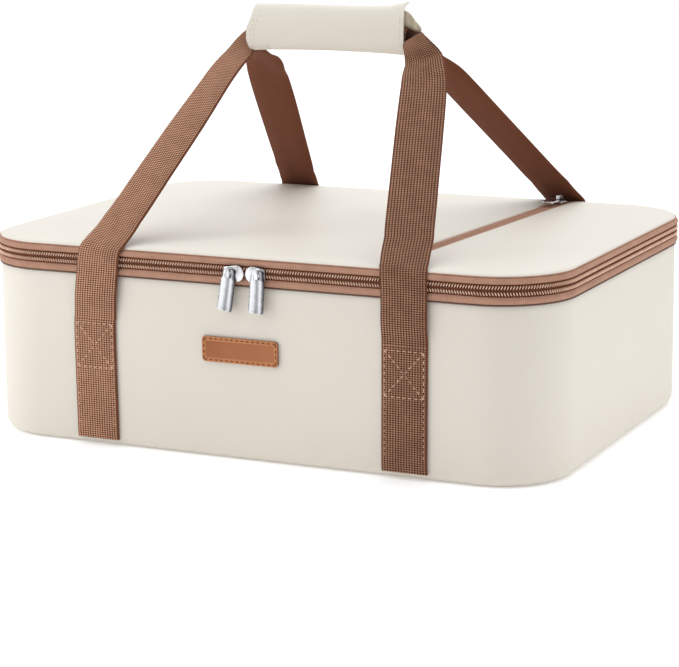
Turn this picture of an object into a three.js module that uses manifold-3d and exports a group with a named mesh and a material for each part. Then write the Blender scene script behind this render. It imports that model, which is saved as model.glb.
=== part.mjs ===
// Insulated casserole carrier: a soft-sided box with a zipped lid, a lid pocket and two webbing handles.
// Millimetres, +Z up. The origin is the middle of the base, on the surface that the carrier stands on.
// The front wall, with the label, faces -Y.
import * as THREE from 'three';
import { mergeVertices } from 'three/addons/utils/BufferGeometryUtils.js';
import Module from 'manifold-3d';

const wasm = await Module();
wasm.setup();

// Driving dimensions of the box
const LENGTH = 420;
const DEPTH = 304;
const CORNER_RADIUS = 50;
const LEAST_RADIUS = 2;
const CORNER_STEPS = 8;
const GAP = 0.3;
const MERGE = 1e-4;
const CLOTH = 1.4;
const FOAM = 5;
const FOIL = 0.8;
const EDGE_ROUND = 8;
const EDGE_STEPS = 4;
const BASE_HEM = 11;
const BOARD = 2.5;
const BOARD_INSET = 12;
const WALL_TOP = 118;
const LID_TOP = 138.5;

// Main zip: two tapes and two coil rows round the front and the sides
const ZIP_CENTRE = 126.6;
const COIL_HEIGHT = 2.5;
const COIL_GAP = 1.2;
const COIL_PROUD = 1.6;
const COIL_INNER = 1;
const BAND_TOP = 135.7;
const TAPE_PROUD = 1;
const TAPE_INNER = 0.4;
const ZIP_END = 130;
const END_TAB_LENGTH = 10;

// Lid build-up, from the foil facing to the panel
const LID_LINER_BOTTOM = 127.9;
const LID_FOAM_BOTTOM = 128.8;
const LID_FOAM_TOP = 133.1;
const POCKET_LINING_BOTTOM = 133.4;
const LID_PANEL_BOTTOM = 134.3;
const LID_CORE_INSET = 5;
const LID_EDGE_INSET = 0.7;
// Crown of the panels: [inset from the outer face, how far it lies below the top]
const LID_CROWN = [[3, 1.5], [20, 0.5], [70, 0]];

// Pocket zip, front to back on the right of the lid, slanted a little
const POCKET_X = 105;
const POCKET_SLANT = 3.7;
const POCKET_SLOT = 11;
const POCKET_END = 146;
const POCKET_STOP = 3;
const POCKET_TAPE_BOTTOM = 136.4;
const POCKET_TAPE_TOP = 137.4;
const POCKET_COIL_BOTTOM = 136.2;
const POCKET_COIL_TOP = 138.4;
const POCKET_COIL_WIDTH = 1.1;
const POCKET_SLIDER_Y = 134;

// Webbing and the label
const WEBBING_WIDTH = 32;
const WEBBING = 1.8;
const STRAP_BOTTOM = 5;
const STRAP_SEWN_TOP = 85.5;
// Where each strap's middle is on the wall: [x at the bottom, x at the top of the sewn stretch, x at the zip]
const STRAP_X = {
  front: { left: [-113.7, -110, -107], right: [114.1, 114.3, 114.6] },
  back: { left: [-109.7, -109.7, -109], right: [112.6, 112.6, 112] },
};
// Each leg leans in straight from [half spread, distance from the middle, height] low to the same high,
// about a middle plane that lies to the right by shift, and is twisted about its own line
const LEGS = {
  front: { face: -1, shift: 3.8, low: [104.8, 133.5, 154], high: [77.7, 45.7, 240], twist: 32 },
  back: { face: 1, shift: 1.5, low: [104.1, 133.2, 154], high: [71.6, 23.1, 240], twist: 18 },
};
// Up the wall: [share of the way to its place at the zip, share of the way out to clear the zip, height]
const CLIMB = [
  [0, 0, STRAP_SEWN_TOP + 4 * GAP], [0.2, 0.2, 93], [0.5, 1, 104], [0.9, 1, 121], [1, 1, BAND_TOP],
];
// Over the zip: how far in from clear of it, how far above the band, and the share of the twist
const BEND = { inward: 2, rise: 4, turn: 0.1 };
// Along the straight stretch: [share of its length, share of the twist, share of the width]
const STRAIGHT = [[0, 0.6, 1], [0.35, 1, 1], [0.7, 1, 1], [1, 0.85, 0.95]];
// Folded into the wrap: [how far nearer the middle, share of the way still out, height, width,
// share of the twist, share of the shift]
const ENTRY = [
  [4.5, 0.6, 250, 26, 0.5, 1],
  [8.5, 0.22, 257, 20, 0.2, 1],
  [11.5, 0.02, 262.5, 15.5, 0, 1],
  [15, 0, 266.8, 13.5, 0, 0.7],
  [20, 0, 268.9, 13.5, 0, 0.4],
  [27, 0, 270.5, 17, 0, 0],
  [36, 0, 272, 21, 0, 0],
];
const LABEL_WIDTH = 55.8;
const LABEL_HEIGHT = 17;
const LABEL_THICKNESS = 1.6;
const LABEL_X = -3.6;
const LABEL_Z = 74.5;
const LABEL_ROUND = 2.5;

// Handle wrap, round both loops
const WRAP_LENGTH = 115;
const WRAP_FLAP_LENGTH = 80;
const WRAP_FRONT = -25.4;
const WRAP_BACK = -13.2;
const WRAP_TOP = 290.5;
const WRAP_BOTTOM = 259;
const WRAP_CLOTH = 1.8;
const WRAP_ROUND = 5;
const WRAP_RETURN = 8;
const PATCH = 0.8;
const PATCH_END_INSET = 4;
const PATCH_RISE = 2;
const FLAP_RISE = 1;
const FLAP_ROUND = 3;
const FRONT_LOOP_Y = -19.5;
const BACK_LOOP_Y = -16.5;

// Sliders and pulls
const SLIDER_MEET = 1.65;
const SLIDER_HALF = 7;
const SLIDER_NOSE_GAP = 0.65;
const SLIDER_HALF_WIDTH = 5.4;
const SLIDER_PLATE = 1.4;
const SLIDER_BACK_PLATE = 1.2;
// Width at the tail as a share of the width at the nose
const SLIDER_TAIL = 0.72;
const SLIDER_STEPS = 8;
// How deep a post or crown is fused into its plate
const FUSE = 0.5;
const POST_WIDTH = 0.6;
// The post's place, as shares of the half length
const POST_FROM = 0.4;
const POST_TO = 0.75;
const CROWN_OFFSET = 2.7;
const CROWN_RISE = 1;
const CROWN_HALF_WIDTH = 1.2;
const CROWN_FROM = -3.1;
const CROWN_TO = 2.7;
const CROWN_HEIGHT = 4.1;
const CROWN_WALL = 0.8;
const CROWN_ROOF = 1.1;
const PULL_WIDTH = 10.5;
const PULL_LENGTH = 28;
const PULL_NECK = 8;
const PULL_WINDOW = 4.8;
const PULL_BAR = 0.7;
const PULL_WINDOW_END = 5.7;
const PULL_SHOULDER = 0.4;
const PULL_CHAMFER = 1;
const PULL_THICKNESS = 1.5;
const PULL_STAND_OFF = 1.55;
const LEFT_PULL_SLANT = 9;
const RIGHT_PULL_SLANT = 3.7;
const POCKET_SLIDER_SCALE = 0.85;

// Finishes
const CREAM = { color: 0xe9e5dc, roughness: 0.5, metalness: 0 };
const BROWN = { color: 0x855e4a, roughness: 0.9, metalness: 0 };
const ZIP_BROWN = { color: 0xa98a77, roughness: 0.8, metalness: 0 };
const COIL_TAN = { color: 0xb99c88, roughness: 0.5, metalness: 0 };
const LEATHER = { color: 0xb1734d, roughness: 0.55, metalness: 0 };
const SILVER = { color: 0xcac8c9, roughness: 0.25, metalness: 1 };
const FOIL_FINISH = { color: 0xc4c7ca, roughness: 0.3, metalness: 0.9 };
const FOAM_WHITE = { color: 0xf2f2ee, roughness: 0.95, metalness: 0 };
const BOARD_GREY = { color: 0x8c8c88, roughness: 0.7, metalness: 0 };
const FASTENER_CREAM = { color: 0xd9d3c6, roughness: 1, metalness: 0 };

const FRONT = -DEPTH / 2;
const carrier = new THREE.Group();

function addMesh(name, geometry, finish, parent = carrier) {
  const mesh = new THREE.Mesh(geometry, new THREE.MeshStandardMaterial(finish));
  mesh.name = name;
  parent.add(mesh);
  return mesh;
}

function addBox(name, low, high, finish, parent = carrier) {
  const size = low.map((value, axis) => high[axis] - value);
  const mesh = addMesh(name, new THREE.BoxGeometry(...size), finish, parent);
  mesh.position.set(...low.map((value, axis) => value + size[axis] / 2));
}

// A closed body from its points and triangles, turned so that its faces point out
function closedBody(points, triangles) {
  let volume = 0;
  for (const [a, b, c] of triangles) {
    volume += new THREE.Vector3(...points[a]).dot(
      new THREE.Vector3(...points[b]).cross(new THREE.Vector3(...points[c])));
  }
  const facing = volume < 0 ? triangles.map(([a, b, c]) => [a, c, b]) : triangles;
  const geometry = new THREE.BufferGeometry();
  geometry.setAttribute('position', new THREE.Float32BufferAttribute(points.flat(), 3));
  geometry.setIndex(facing.flat());
  return geometry;
}

// Quads between two loops of equal length
function bridge(triangles, first, second, count) {
  for (let i = 0; i < count; i += 1) {
    const next = (i + 1) % count;
    triangles.push([first + i, first + next, second + next]);
    triangles.push([first + i, second + next, second + i]);
  }
}

// Fan over a loop that has no hollow corners
function cap(triangles, first, count, backward) {
  for (let i = 1; i < count - 1; i += 1) {
    triangles.push(backward ? [first, first + i + 1, first + i] : [first, first + i, first + i + 1]);
  }
}

// Loops stacked one on the next, closed at both ends
function loft(loops) {
  const count = loops[0].length;
  const triangles = [];
  for (let i = 0; i < loops.length - 1; i += 1) {
    bridge(triangles, i * count, (i + 1) * count, count);
  }
  cap(triangles, 0, count, true);
  cap(triangles, (loops.length - 1) * count, count, false);
  return closedBody(loops.flat(), triangles);
}

// One rounded corner of the plan, inset from the outer face.
// The corners run front right, back right, back left, front left.
function planCorner(corner, inset) {
  const radius = Math.max(CORNER_RADIUS - inset, LEAST_RADIUS);
  const x = LENGTH / 2 - inset - radius;
  const y = DEPTH / 2 - inset - radius;
  const centre = [[x, -y], [x, y], [-x, y], [-x, -y]][corner];
  const points = [];
  for (let i = 0; i <= CORNER_STEPS; i += 1) {
    const angle = ((corner - 1) + i / CORNER_STEPS) * Math.PI / 2;
    points.push([centre[0] + radius * Math.cos(angle), centre[1] + radius * Math.sin(angle)]);
  }
  return points;
}

function planOutline(inset) {
  return [0, 1, 2, 3].flatMap((corner) => planCorner(corner, inset));
}

// The zip's path: from behind the back left corner, round the front, to behind the back right corner
function zipOutline(inset) {
  const back = DEPTH / 2 - inset;
  return [[-ZIP_END, back], ...[2, 3, 0, 1].flatMap((corner) => planCorner(corner, inset)), [ZIP_END, back]];
}

function atHeight(outline, z) {
  return outline.map(([x, y]) => [x, y, z]);
}

// A plate or tray of the plan's shape; levels are [inset, z] from one end of the skin to the other
function planStack(levels) {
  return loft(levels.map(([inset, z]) => atHeight(planOutline(inset), z)));
}

// A ring round the plan; section is a closed row of [inset, z]
function planRing(section) {
  const loops = section.map(([inset, z]) => atHeight(planOutline(inset), z));
  const count = loops[0].length;
  const triangles = [];
  loops.forEach((loop, i) => bridge(triangles, i * count, ((i + 1) % loops.length) * count, count));
  return closedBody(loops.flat(), triangles);
}

// A strip along the zip's path with a rectangular section
function zipStrip(outer, inner, bottom, top) {
  const corners = [[outer, bottom], [inner, bottom], [inner, top], [outer, top]];
  const rails = corners.map(([inset, z]) => atHeight(zipOutline(inset), z));
  return loft(rails[0].map((_, station) => rails.map((rail) => rail[station])));
}

function toSolid(geometry) {
  const bare = geometry.clone();
  bare.deleteAttribute('normal');
  bare.deleteAttribute('uv');
  const merged = mergeVertices(bare, MERGE);
  return new wasm.Manifold(new wasm.Mesh({
    numProp: 3,
    vertProperties: new Float32Array(merged.attributes.position.array),
    triVerts: new Uint32Array(merged.index.array),
  }));
}

function fromSolid(solid) {
  const mesh = solid.getMesh();
  const geometry = new THREE.BufferGeometry();
  geometry.setAttribute('position', new THREE.Float32BufferAttribute(mesh.vertProperties, 3));
  geometry.setIndex(Array.from(mesh.triVerts));
  return geometry;
}

function boxGeometry(low, high) {
  const size = low.map((value, axis) => high[axis] - value);
  const geometry = new THREE.BoxGeometry(...size);
  geometry.translate(...low.map((value, axis) => value + size[axis] / 2));
  return geometry;
}

function boxSolid(low, high) {
  return toSolid(boxGeometry(low, high));
}

// Body: cream outside, board and foam in the middle, foil tub inside
function roundedEdge(centre, radius) {
  return Array.from({ length: EDGE_STEPS + 1 }, (_, i) => {
    const angle = i / EDGE_STEPS * Math.PI / 2;
    return [centre - radius * Math.cos(angle), centre - radius * Math.sin(angle)];
  });
}

function addBody() {
  const wall = [
    [0, WALL_TOP],
    ...roundedEdge(EDGE_ROUND, EDGE_ROUND),
    [BASE_HEM, 0],
    [BASE_HEM, CLOTH],
    ...roundedEdge(EDGE_ROUND, EDGE_ROUND - CLOTH).reverse(),
    [CLOTH, WALL_TOP],
  ];
  addMesh('side_wall', planRing(wall), CREAM);
  addMesh('base_panel', planStack([[BASE_HEM + GAP, 0], [BASE_HEM + GAP, CLOTH]]), CREAM);

  const boardBottom = CLOTH + GAP;
  const boardTop = boardBottom + BOARD;
  addMesh('base_board', planStack([[BOARD_INSET, boardBottom], [BOARD_INSET, boardTop]]), BOARD_GREY);

  const foamOuter = CLOTH + GAP;
  const foamInner = foamOuter + FOAM;
  const linerOuter = foamInner + GAP;
  const linerInner = linerOuter + FOIL;
  const baseFoamBottom = boardTop + GAP;
  const baseFoamTop = baseFoamBottom + FOAM;
  const linerBottom = baseFoamTop + GAP;
  const rimTop = WALL_TOP - GAP;
  const rimBottom = rimTop - CLOTH;
  const coreTop = rimBottom - GAP;
  addMesh('base_foam', planStack([[linerOuter, baseFoamBottom], [linerOuter, baseFoamTop]]), FOAM_WHITE);
  addMesh('wall_foam', planRing([
    [foamOuter, linerBottom], [foamInner, linerBottom], [foamInner, coreTop], [foamOuter, coreTop],
  ]), FOAM_WHITE);
  addMesh('body_liner', planStack([
    [linerInner, linerBottom + FOIL], [linerInner, coreTop], [linerOuter, coreTop], [linerOuter, linerBottom],
  ]), FOIL_FINISH);
  addMesh('body_rim_binding', planRing([
    [foamOuter, rimBottom], [linerInner, rimBottom], [linerInner, rimTop], [foamOuter, rimTop],
  ]), CREAM);
}

// Main zip, with a tab over each end of the lower tape and the cloth that hinges the lid
function addMainZip() {
  const lowerCoilTop = ZIP_CENTRE - COIL_GAP / 2;
  const lowerCoilBottom = lowerCoilTop - COIL_HEIGHT;
  const upperCoilBottom = ZIP_CENTRE + COIL_GAP / 2;
  const upperCoilTop = upperCoilBottom + COIL_HEIGHT;
  const tapeBottom = WALL_TOP + GAP;
  addMesh('zip_tape_lower', zipStrip(-TAPE_PROUD, TAPE_INNER, tapeBottom, lowerCoilBottom - GAP), ZIP_BROWN);
  addMesh('zip_coil_lower', zipStrip(-COIL_PROUD, COIL_INNER, lowerCoilBottom, lowerCoilTop), COIL_TAN);
  addMesh('zip_coil_upper', zipStrip(-COIL_PROUD, COIL_INNER, upperCoilBottom, upperCoilTop), COIL_TAN);
  addMesh('zip_tape_upper', zipStrip(-TAPE_PROUD, TAPE_INNER, upperCoilTop + GAP, BAND_TOP), ZIP_BROWN);

  const back = DEPTH / 2;
  const tabEnd = ZIP_END - GAP - END_TAB_LENGTH;
  for (const [name, side] of [['left', -1], ['right', 1]]) {
    const edges = [side * tabEnd, side * (ZIP_END - GAP)].sort((a, b) => a - b);
    addBox(`zip_end_tab_${name}`, [edges[0], back - TAPE_INNER, tapeBottom],
      [edges[1], back + COIL_PROUD, lowerCoilTop], ZIP_BROWN);
  }
  const hinge = tabEnd - GAP;
  addBox('lid_hinge_cloth', [-hinge, back - TAPE_INNER, tapeBottom],
    [hinge, back + TAPE_PROUD, BAND_TOP], CREAM);
}

// Lid: two crowned panels over a pocket lining, foam and foil
function addLid() {
  const edge = LID_PANEL_BOTTOM + CLOTH;
  const crown = toSolid(planStack([
    [LID_EDGE_INSET, LID_PANEL_BOTTOM],
    [LID_EDGE_INSET, edge],
    ...LID_CROWN.map(([inset, drop]) => [inset, LID_TOP - drop]),
  ]));
  const cut = (low, high) => {
    const half = boxGeometry([low, -LENGTH, 0], [high, LENGTH, LID_TOP + CLOTH]);
    return toSolid(half.rotateZ(-POCKET_SLANT * Math.PI / 180).translate(POCKET_X, 0, 0));
  };
  const left = cut(-2 * LENGTH, -POCKET_SLOT / 2);
  const right = cut(POCKET_SLOT / 2, LENGTH);
  addMesh('lid_main_panel', fromSolid(crown.intersect(left)), CREAM);
  addMesh('lid_side_panel', fromSolid(crown.intersect(right)), CREAM);

  const core = LID_CORE_INSET;
  addMesh('pocket_lining', planStack([[core, POCKET_LINING_BOTTOM], [core, LID_PANEL_BOTTOM - GAP]]), CREAM);
  addMesh('lid_foam', planStack([[core, LID_FOAM_BOTTOM], [core, LID_FOAM_TOP]]), FOAM_WHITE);
  addMesh('lid_liner', planStack([[core, LID_LINER_BOTTOM], [core, LID_FOAM_BOTTOM - GAP]]), FOIL_FINISH);
  const bindingOuter = core - GAP - CLOTH;
  addMesh('lid_rim_binding', planRing([
    [bindingOuter, LID_LINER_BOTTOM], [core - GAP, LID_LINER_BOTTOM],
    [core - GAP, LID_PANEL_BOTTOM - GAP], [bindingOuter, LID_PANEL_BOTTOM - GAP],
  ]), CREAM);
}

// Pocket zip in the slot between the lid's panels, drawn about its own middle line
const pocket = new THREE.Group();
pocket.position.x = POCKET_X;
pocket.rotation.z = -POCKET_SLANT * Math.PI / 180;
carrier.add(pocket);

function addPocketZip() {
  const coilInner = COIL_GAP / 2;
  const coilOuter = coilInner + POCKET_COIL_WIDTH;
  const tapeInner = coilOuter + GAP;
  const tapeOuter = POCKET_SLOT / 2 - GAP;
  for (const [name, side] of [['left', -1], ['right', 1]]) {
    const coil = [side * coilInner, side * coilOuter].sort((a, b) => a - b);
    const tape = [side * tapeInner, side * tapeOuter].sort((a, b) => a - b);
    addBox(`pocket_zip_tape_${name}`, [tape[0], -POCKET_END, POCKET_TAPE_BOTTOM],
      [tape[1], POCKET_END, POCKET_TAPE_TOP], ZIP_BROWN, pocket);
    addBox(`pocket_zip_coil_${name}`, [coil[0], -POCKET_END, POCKET_COIL_BOTTOM],
      [coil[1], POCKET_END, POCKET_COIL_TOP], COIL_TAN, pocket);
  }
  for (const [name, side] of [['front', -1], ['back', 1]]) {
    const ends = [side * (POCKET_END + GAP), side * (POCKET_END + POCKET_STOP)].sort((a, b) => a - b);
    addBox(`pocket_stop_${name}`, [-tapeOuter, ends[0], LID_PANEL_BOTTOM],
      [tapeOuter, ends[1], POCKET_TAPE_TOP], ZIP_BROWN, pocket);
  }
}

// Flat webbing along a centre line.
// Its width stays square to the line and in the plane of the front unless it is twisted, or it is kept level.
function webbing(line) {
  const loops = line.map(({ point, width, twist, level }, i) => {
    const before = line[Math.max(i - 1, 0)].point;
    const after = line[Math.min(i + 1, line.length - 1)].point;
    const along = after.clone().sub(before).normalize();
    const across = new THREE.Vector3(along.z, 0, level ? 0 : -along.x).normalize();
    across.applyAxisAngle(along, twist * Math.PI / 180);
    const out = across.clone().cross(along).normalize();
    return [[-1, -1], [1, -1], [1, 1], [-1, 1]].map(([w, t]) => point.clone()
      .addScaledVector(across, w * width / 2).addScaledVector(out, t * WEBBING / 2).toArray());
  });
  return loft(loops);
}

const SEWN_OUT = DEPTH / 2 + GAP + WEBBING / 2;
const CLEAR_OUT = DEPTH / 2 + COIL_PROUD + 2 * GAP + WEBBING / 2;
const SIDES = { left: -1, right: 1 };

// One leg of a loop from its sewn end up, over the lid and into the wrap
function loopLeg(wall, side, loopY) {
  const { face, shift, low, high, twist } = LEGS[wall];
  const sign = SIDES[side];
  const [, sewnX, zipX] = STRAP_X[wall][side];
  const line = [];
  const add = (x, out, z, width = WEBBING_WIDTH, turn = 0, level = false) => line.push({
    point: new THREE.Vector3(x, face * out, z), width, twist: turn * face, level,
  });
  for (const [over, clear, z] of CLIMB) {
    add(sewnX + (zipX - sewnX) * over, SEWN_OUT + (CLEAR_OUT - SEWN_OUT) * clear, z);
  }
  const bendX = (zipX + shift + sign * low[0]) / 2;
  add(bendX, CLEAR_OUT - BEND.inward, BAND_TOP + BEND.rise, WEBBING_WIDTH, twist * BEND.turn, true);
  for (const [t, turn, narrow] of STRAIGHT) {
    const [half, out, z] = low.map((value, axis) => value + (high[axis] - value) * t);
    add(shift + sign * half, out, z, WEBBING_WIDTH * narrow, twist * turn);
  }
  const toWrap = face * loopY;
  for (const [nearer, away, z, width, turn, shifted] of ENTRY) {
    const x = shift * shifted + sign * (high[0] - nearer);
    add(x, toWrap + (high[1] - toWrap) * away, z, width, twist * turn);
  }
  return line;
}

function handleLoop(wall, loopY) {
  return webbing([...loopLeg(wall, 'left', loopY), ...loopLeg(wall, 'right', loopY).reverse()]);
}

function addHandles() {
  for (const wall of ['front', 'back']) {
    for (const side of ['left', 'right']) {
      const [bottomX, topX] = STRAP_X[wall][side];
      const out = LEGS[wall].face * SEWN_OUT;
      addMesh(`${wall}_strap_${side}`, webbing([
        { point: new THREE.Vector3(bottomX, out, STRAP_BOTTOM), width: WEBBING_WIDTH, twist: 0 },
        { point: new THREE.Vector3(topX, out, STRAP_SEWN_TOP), width: WEBBING_WIDTH, twist: 0 },
      ]), BROWN);
    }
  }
  addMesh('front_handle_webbing', handleLoop('front', FRONT_LOOP_Y), BROWN);
  addMesh('back_handle_webbing', handleLoop('back', BACK_LOOP_Y), BROWN);
}

// A section drawn as [y, z] and run along X, centred on x = 0
function alongX(section, length) {
  const loops = [-length / 2, length / 2].map((x) => section.map(([y, z]) => new THREE.Vector3(x, y, z)));
  const flat = section.map(([y, z]) => new THREE.Vector2(y, z));
  const count = section.length;
  const triangles = [];
  bridge(triangles, 0, count, count);
  for (const [a, b, c] of THREE.ShapeUtils.triangulateShape(flat, [])) {
    triangles.push([a, c, b], [count + a, count + b, count + c]);
  }
  return closedBody(loops.flat().map((point) => point.toArray()), triangles);
}

function arc(centreY, centreZ, radius, from, to) {
  return Array.from({ length: EDGE_STEPS + 1 }, (_, i) => {
    const angle = (from + (to - from) * i / EDGE_STEPS) * Math.PI / 180;
    return [centreY + radius * Math.cos(angle), centreZ + radius * Math.sin(angle)];
  });
}

function addWrap() {
  const round = WRAP_ROUND;
  const inside = WRAP_ROUND - WRAP_CLOTH;
  const bendY = WRAP_FRONT + round;
  const lipStart = WRAP_FRONT + WRAP_CLOTH / 2;
  const frontAndTop = [
    [WRAP_BACK - WRAP_CLOTH, WRAP_TOP],
    ...arc(bendY, WRAP_TOP - round, round, 90, 180),
    [WRAP_FRONT, WRAP_BOTTOM],
    [WRAP_FRONT + WRAP_CLOTH, WRAP_BOTTOM],
    ...arc(bendY, WRAP_TOP - round, inside, 180, 90),
    [WRAP_BACK - WRAP_CLOTH, WRAP_TOP - WRAP_CLOTH],
  ];
  const lip = [
    [lipStart, WRAP_BOTTOM],
    [WRAP_BACK, WRAP_BOTTOM],
    [WRAP_BACK, WRAP_BOTTOM + WRAP_RETURN],
    [WRAP_BACK - WRAP_CLOTH, WRAP_BOTTOM + WRAP_RETURN],
    [WRAP_BACK - WRAP_CLOTH, WRAP_BOTTOM + WRAP_CLOTH],
    [lipStart, WRAP_BOTTOM + WRAP_CLOTH],
  ];
  const cover = toSolid(alongX(frontAndTop, WRAP_LENGTH)).add(toSolid(alongX(lip, WRAP_FLAP_LENGTH)));
  addMesh('handle_wrap', fromSolid(cover), CREAM);

  const patchHalf = WRAP_FLAP_LENGTH / 2 - PATCH_END_INSET;
  const patchLow = WRAP_BOTTOM + PATCH_RISE;
  const patchHigh = WRAP_BOTTOM + WRAP_RETURN;
  const loopBack = WRAP_BACK + GAP + PATCH;
  const hookBack = loopBack + GAP + PATCH;
  addBox('wrap_loop_patch', [-patchHalf, WRAP_BACK + GAP, patchLow],
    [patchHalf, loopBack, patchHigh], FASTENER_CREAM);
  addBox('wrap_hook_patch', [-patchHalf, loopBack + GAP, patchLow],
    [patchHalf, hookBack, patchHigh], FASTENER_CREAM);

  const flapFront = hookBack + GAP;
  const flapBack = flapFront + WRAP_CLOTH;
  const hingeY = WRAP_BACK - WRAP_CLOTH + GAP;
  const flapBendY = flapBack - FLAP_ROUND;
  const flapBendZ = WRAP_TOP - FLAP_ROUND;
  const flap = [
    [hingeY, WRAP_TOP],
    [hingeY, WRAP_TOP - WRAP_CLOTH],
    ...arc(flapBendY, flapBendZ, FLAP_ROUND - WRAP_CLOTH, 90, 0),
    [flapFront, WRAP_BOTTOM + FLAP_RISE],
    [flapBack, WRAP_BOTTOM + FLAP_RISE],
    ...arc(flapBendY, flapBendZ, FLAP_ROUND, 0, 90),
  ];
  addMesh('wrap_flap', alongX(flap, WRAP_FLAP_LENGTH), CREAM);
}

function addLabel() {
  const x = LABEL_WIDTH / 2 - LABEL_ROUND;
  const y = LABEL_HEIGHT / 2 - LABEL_ROUND;
  const shape = new THREE.Shape();
  shape.absarc(x, -y, LABEL_ROUND, -Math.PI / 2, 0);
  shape.absarc(x, y, LABEL_ROUND, 0, Math.PI / 2);
  shape.absarc(-x, y, LABEL_ROUND, Math.PI / 2, Math.PI);
  shape.absarc(-x, -y, LABEL_ROUND, Math.PI, Math.PI * 1.5);
  const geometry = new THREE.ExtrudeGeometry(shape, {
    depth: LABEL_THICKNESS, bevelEnabled: false, curveSegments: EDGE_STEPS,
  });
  const label = addMesh('label_patch', fromSolid(toSolid(geometry)), LEATHER);
  label.rotation.x = Math.PI / 2;
  label.position.set(LABEL_X, FRONT - GAP, LABEL_Z);
}

// Slider: two shield plates, a thin post between the coil rows and a crown that holds the pull.
// Drawn flat: x and y in the plate, z out; the coil lies between z = 0 and z = coil.
function sliderSolid(noseAngle, crownAt, coil, scale) {
  const half = SLIDER_HALF * scale;
  const wide = SLIDER_HALF_WIDTH * scale;
  const shield = new THREE.Shape();
  shield.moveTo(-half, -wide * SLIDER_TAIL);
  shield.lineTo(half - wide, -wide);
  shield.absarc(half - wide, 0, wide, -Math.PI / 2, Math.PI / 2);
  shield.lineTo(-half, wide * SLIDER_TAIL);
  shield.closePath();
  const plate = (bottom, depth) => {
    const geometry = new THREE.ExtrudeGeometry(shield, {
      depth, bevelEnabled: false, curveSegments: SLIDER_STEPS,
    });
    geometry.translate(0, 0, bottom);
    return geometry;
  };
  const post = boxGeometry(
    [half * POST_FROM, -POST_WIDTH / 2, -GAP - FUSE], [half * POST_TO, POST_WIDTH / 2, coil + GAP + FUSE]);
  const turned = [plate(coil + GAP, SLIDER_PLATE), plate(-GAP - SLIDER_BACK_PLATE, SLIDER_BACK_PLATE), post]
    .map((geometry) => toSolid(geometry.rotateZ(noseAngle)));
  const plateTop = coil + GAP + SLIDER_PLATE;
  const [x, y] = crownAt;
  const arch = boxSolid(
    [x - CROWN_HALF_WIDTH, y + CROWN_FROM, plateTop - FUSE],
    [x + CROWN_HALF_WIDTH, y + CROWN_TO, plateTop + CROWN_HEIGHT]);
  const hollow = boxSolid(
    [x - CROWN_HALF_WIDTH - CROWN_WALL, y + CROWN_FROM + CROWN_WALL, plateTop],
    [x + CROWN_HALF_WIDTH + CROWN_WALL, y + CROWN_TO - CROWN_WALL, plateTop + CROWN_HEIGHT - CROWN_ROOF]);
  const crown = arch.subtract(hollow);
  return fromSolid(turned.reduce((sum, piece) => sum.add(piece)).add(crown));
}

// Pull with its bar at the origin, hanging along -y, z out
function pullSolid(scale) {
  const neck = PULL_NECK / 2;
  const wide = PULL_WIDTH / 2 * scale;
  const end = PULL_BAR - PULL_LENGTH * scale;
  const shoulder = -PULL_WINDOW_END - PULL_SHOULDER;
  const cut = PULL_CHAMFER;
  const shape = new THREE.Shape();
  shape.moveTo(-neck, PULL_BAR);
  shape.lineTo(-neck, shoulder);
  shape.lineTo(-wide, shoulder - cut);
  shape.lineTo(-wide, end + cut);
  shape.lineTo(-wide + cut, end);
  shape.lineTo(wide - cut, end);
  shape.lineTo(wide, end + cut);
  shape.lineTo(wide, shoulder - cut);
  shape.lineTo(neck, shoulder);
  shape.lineTo(neck, PULL_BAR);
  shape.closePath();
  const window = new THREE.Path();
  window.moveTo(-PULL_WINDOW / 2, -PULL_BAR);
  window.lineTo(PULL_WINDOW / 2, -PULL_BAR);
  window.lineTo(PULL_WINDOW / 2, -PULL_WINDOW_END);
  window.lineTo(-PULL_WINDOW / 2, -PULL_WINDOW_END);
  window.closePath();
  shape.holes.push(window);
  const geometry = new THREE.ExtrudeGeometry(shape, { depth: PULL_THICKNESS, bevelEnabled: false });
  geometry.translate(0, 0, -PULL_THICKNESS / 2);
  return fromSolid(toSolid(geometry));
}

function addSliders() {
  const coil = COIL_PROUD + COIL_INNER;
  const pivotOut = coil + GAP + SLIDER_PLATE + PULL_STAND_OFF;
  const mains = [
    ['left', -1, 0, LEFT_PULL_SLANT],
    ['right', 1, Math.PI, RIGHT_PULL_SLANT],
  ];
  for (const [name, side, noseAngle, slant] of mains) {
    const runner = new THREE.Group();
    runner.rotation.x = Math.PI / 2;
    runner.position.set(SLIDER_MEET + side * (SLIDER_HALF + SLIDER_NOSE_GAP), FRONT + COIL_INNER, ZIP_CENTRE);
    const crownAt = [side * CROWN_OFFSET, CROWN_RISE];
    addMesh(`main_slider_${name}`, sliderSolid(noseAngle, crownAt, coil, 1), SILVER, runner);
    const pull = addMesh(`main_pull_${name}`, pullSolid(1), SILVER, runner);
    pull.position.set(crownAt[0], crownAt[1], pivotOut);
    pull.rotation.z = -slant * Math.PI / 180;
    carrier.add(runner);
  }
  const pocketCoil = POCKET_COIL_TOP - POCKET_COIL_BOTTOM;
  const runner = new THREE.Group();
  runner.position.set(0, POCKET_SLIDER_Y, POCKET_COIL_BOTTOM);
  addMesh('pocket_slider', sliderSolid(Math.PI / 2, [0, 0], pocketCoil, POCKET_SLIDER_SCALE), SILVER, runner);
  const pull = addMesh('pocket_pull', pullSolid(POCKET_SLIDER_SCALE), SILVER, runner);
  pull.position.z = pocketCoil + GAP + SLIDER_PLATE + PULL_STAND_OFF;
  pocket.add(runner);
}

addBody();
addMainZip();
addLid();
addPocketZip();
addHandles();
addWrap();
addLabel();
addSliders();

export default carrier;
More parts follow.
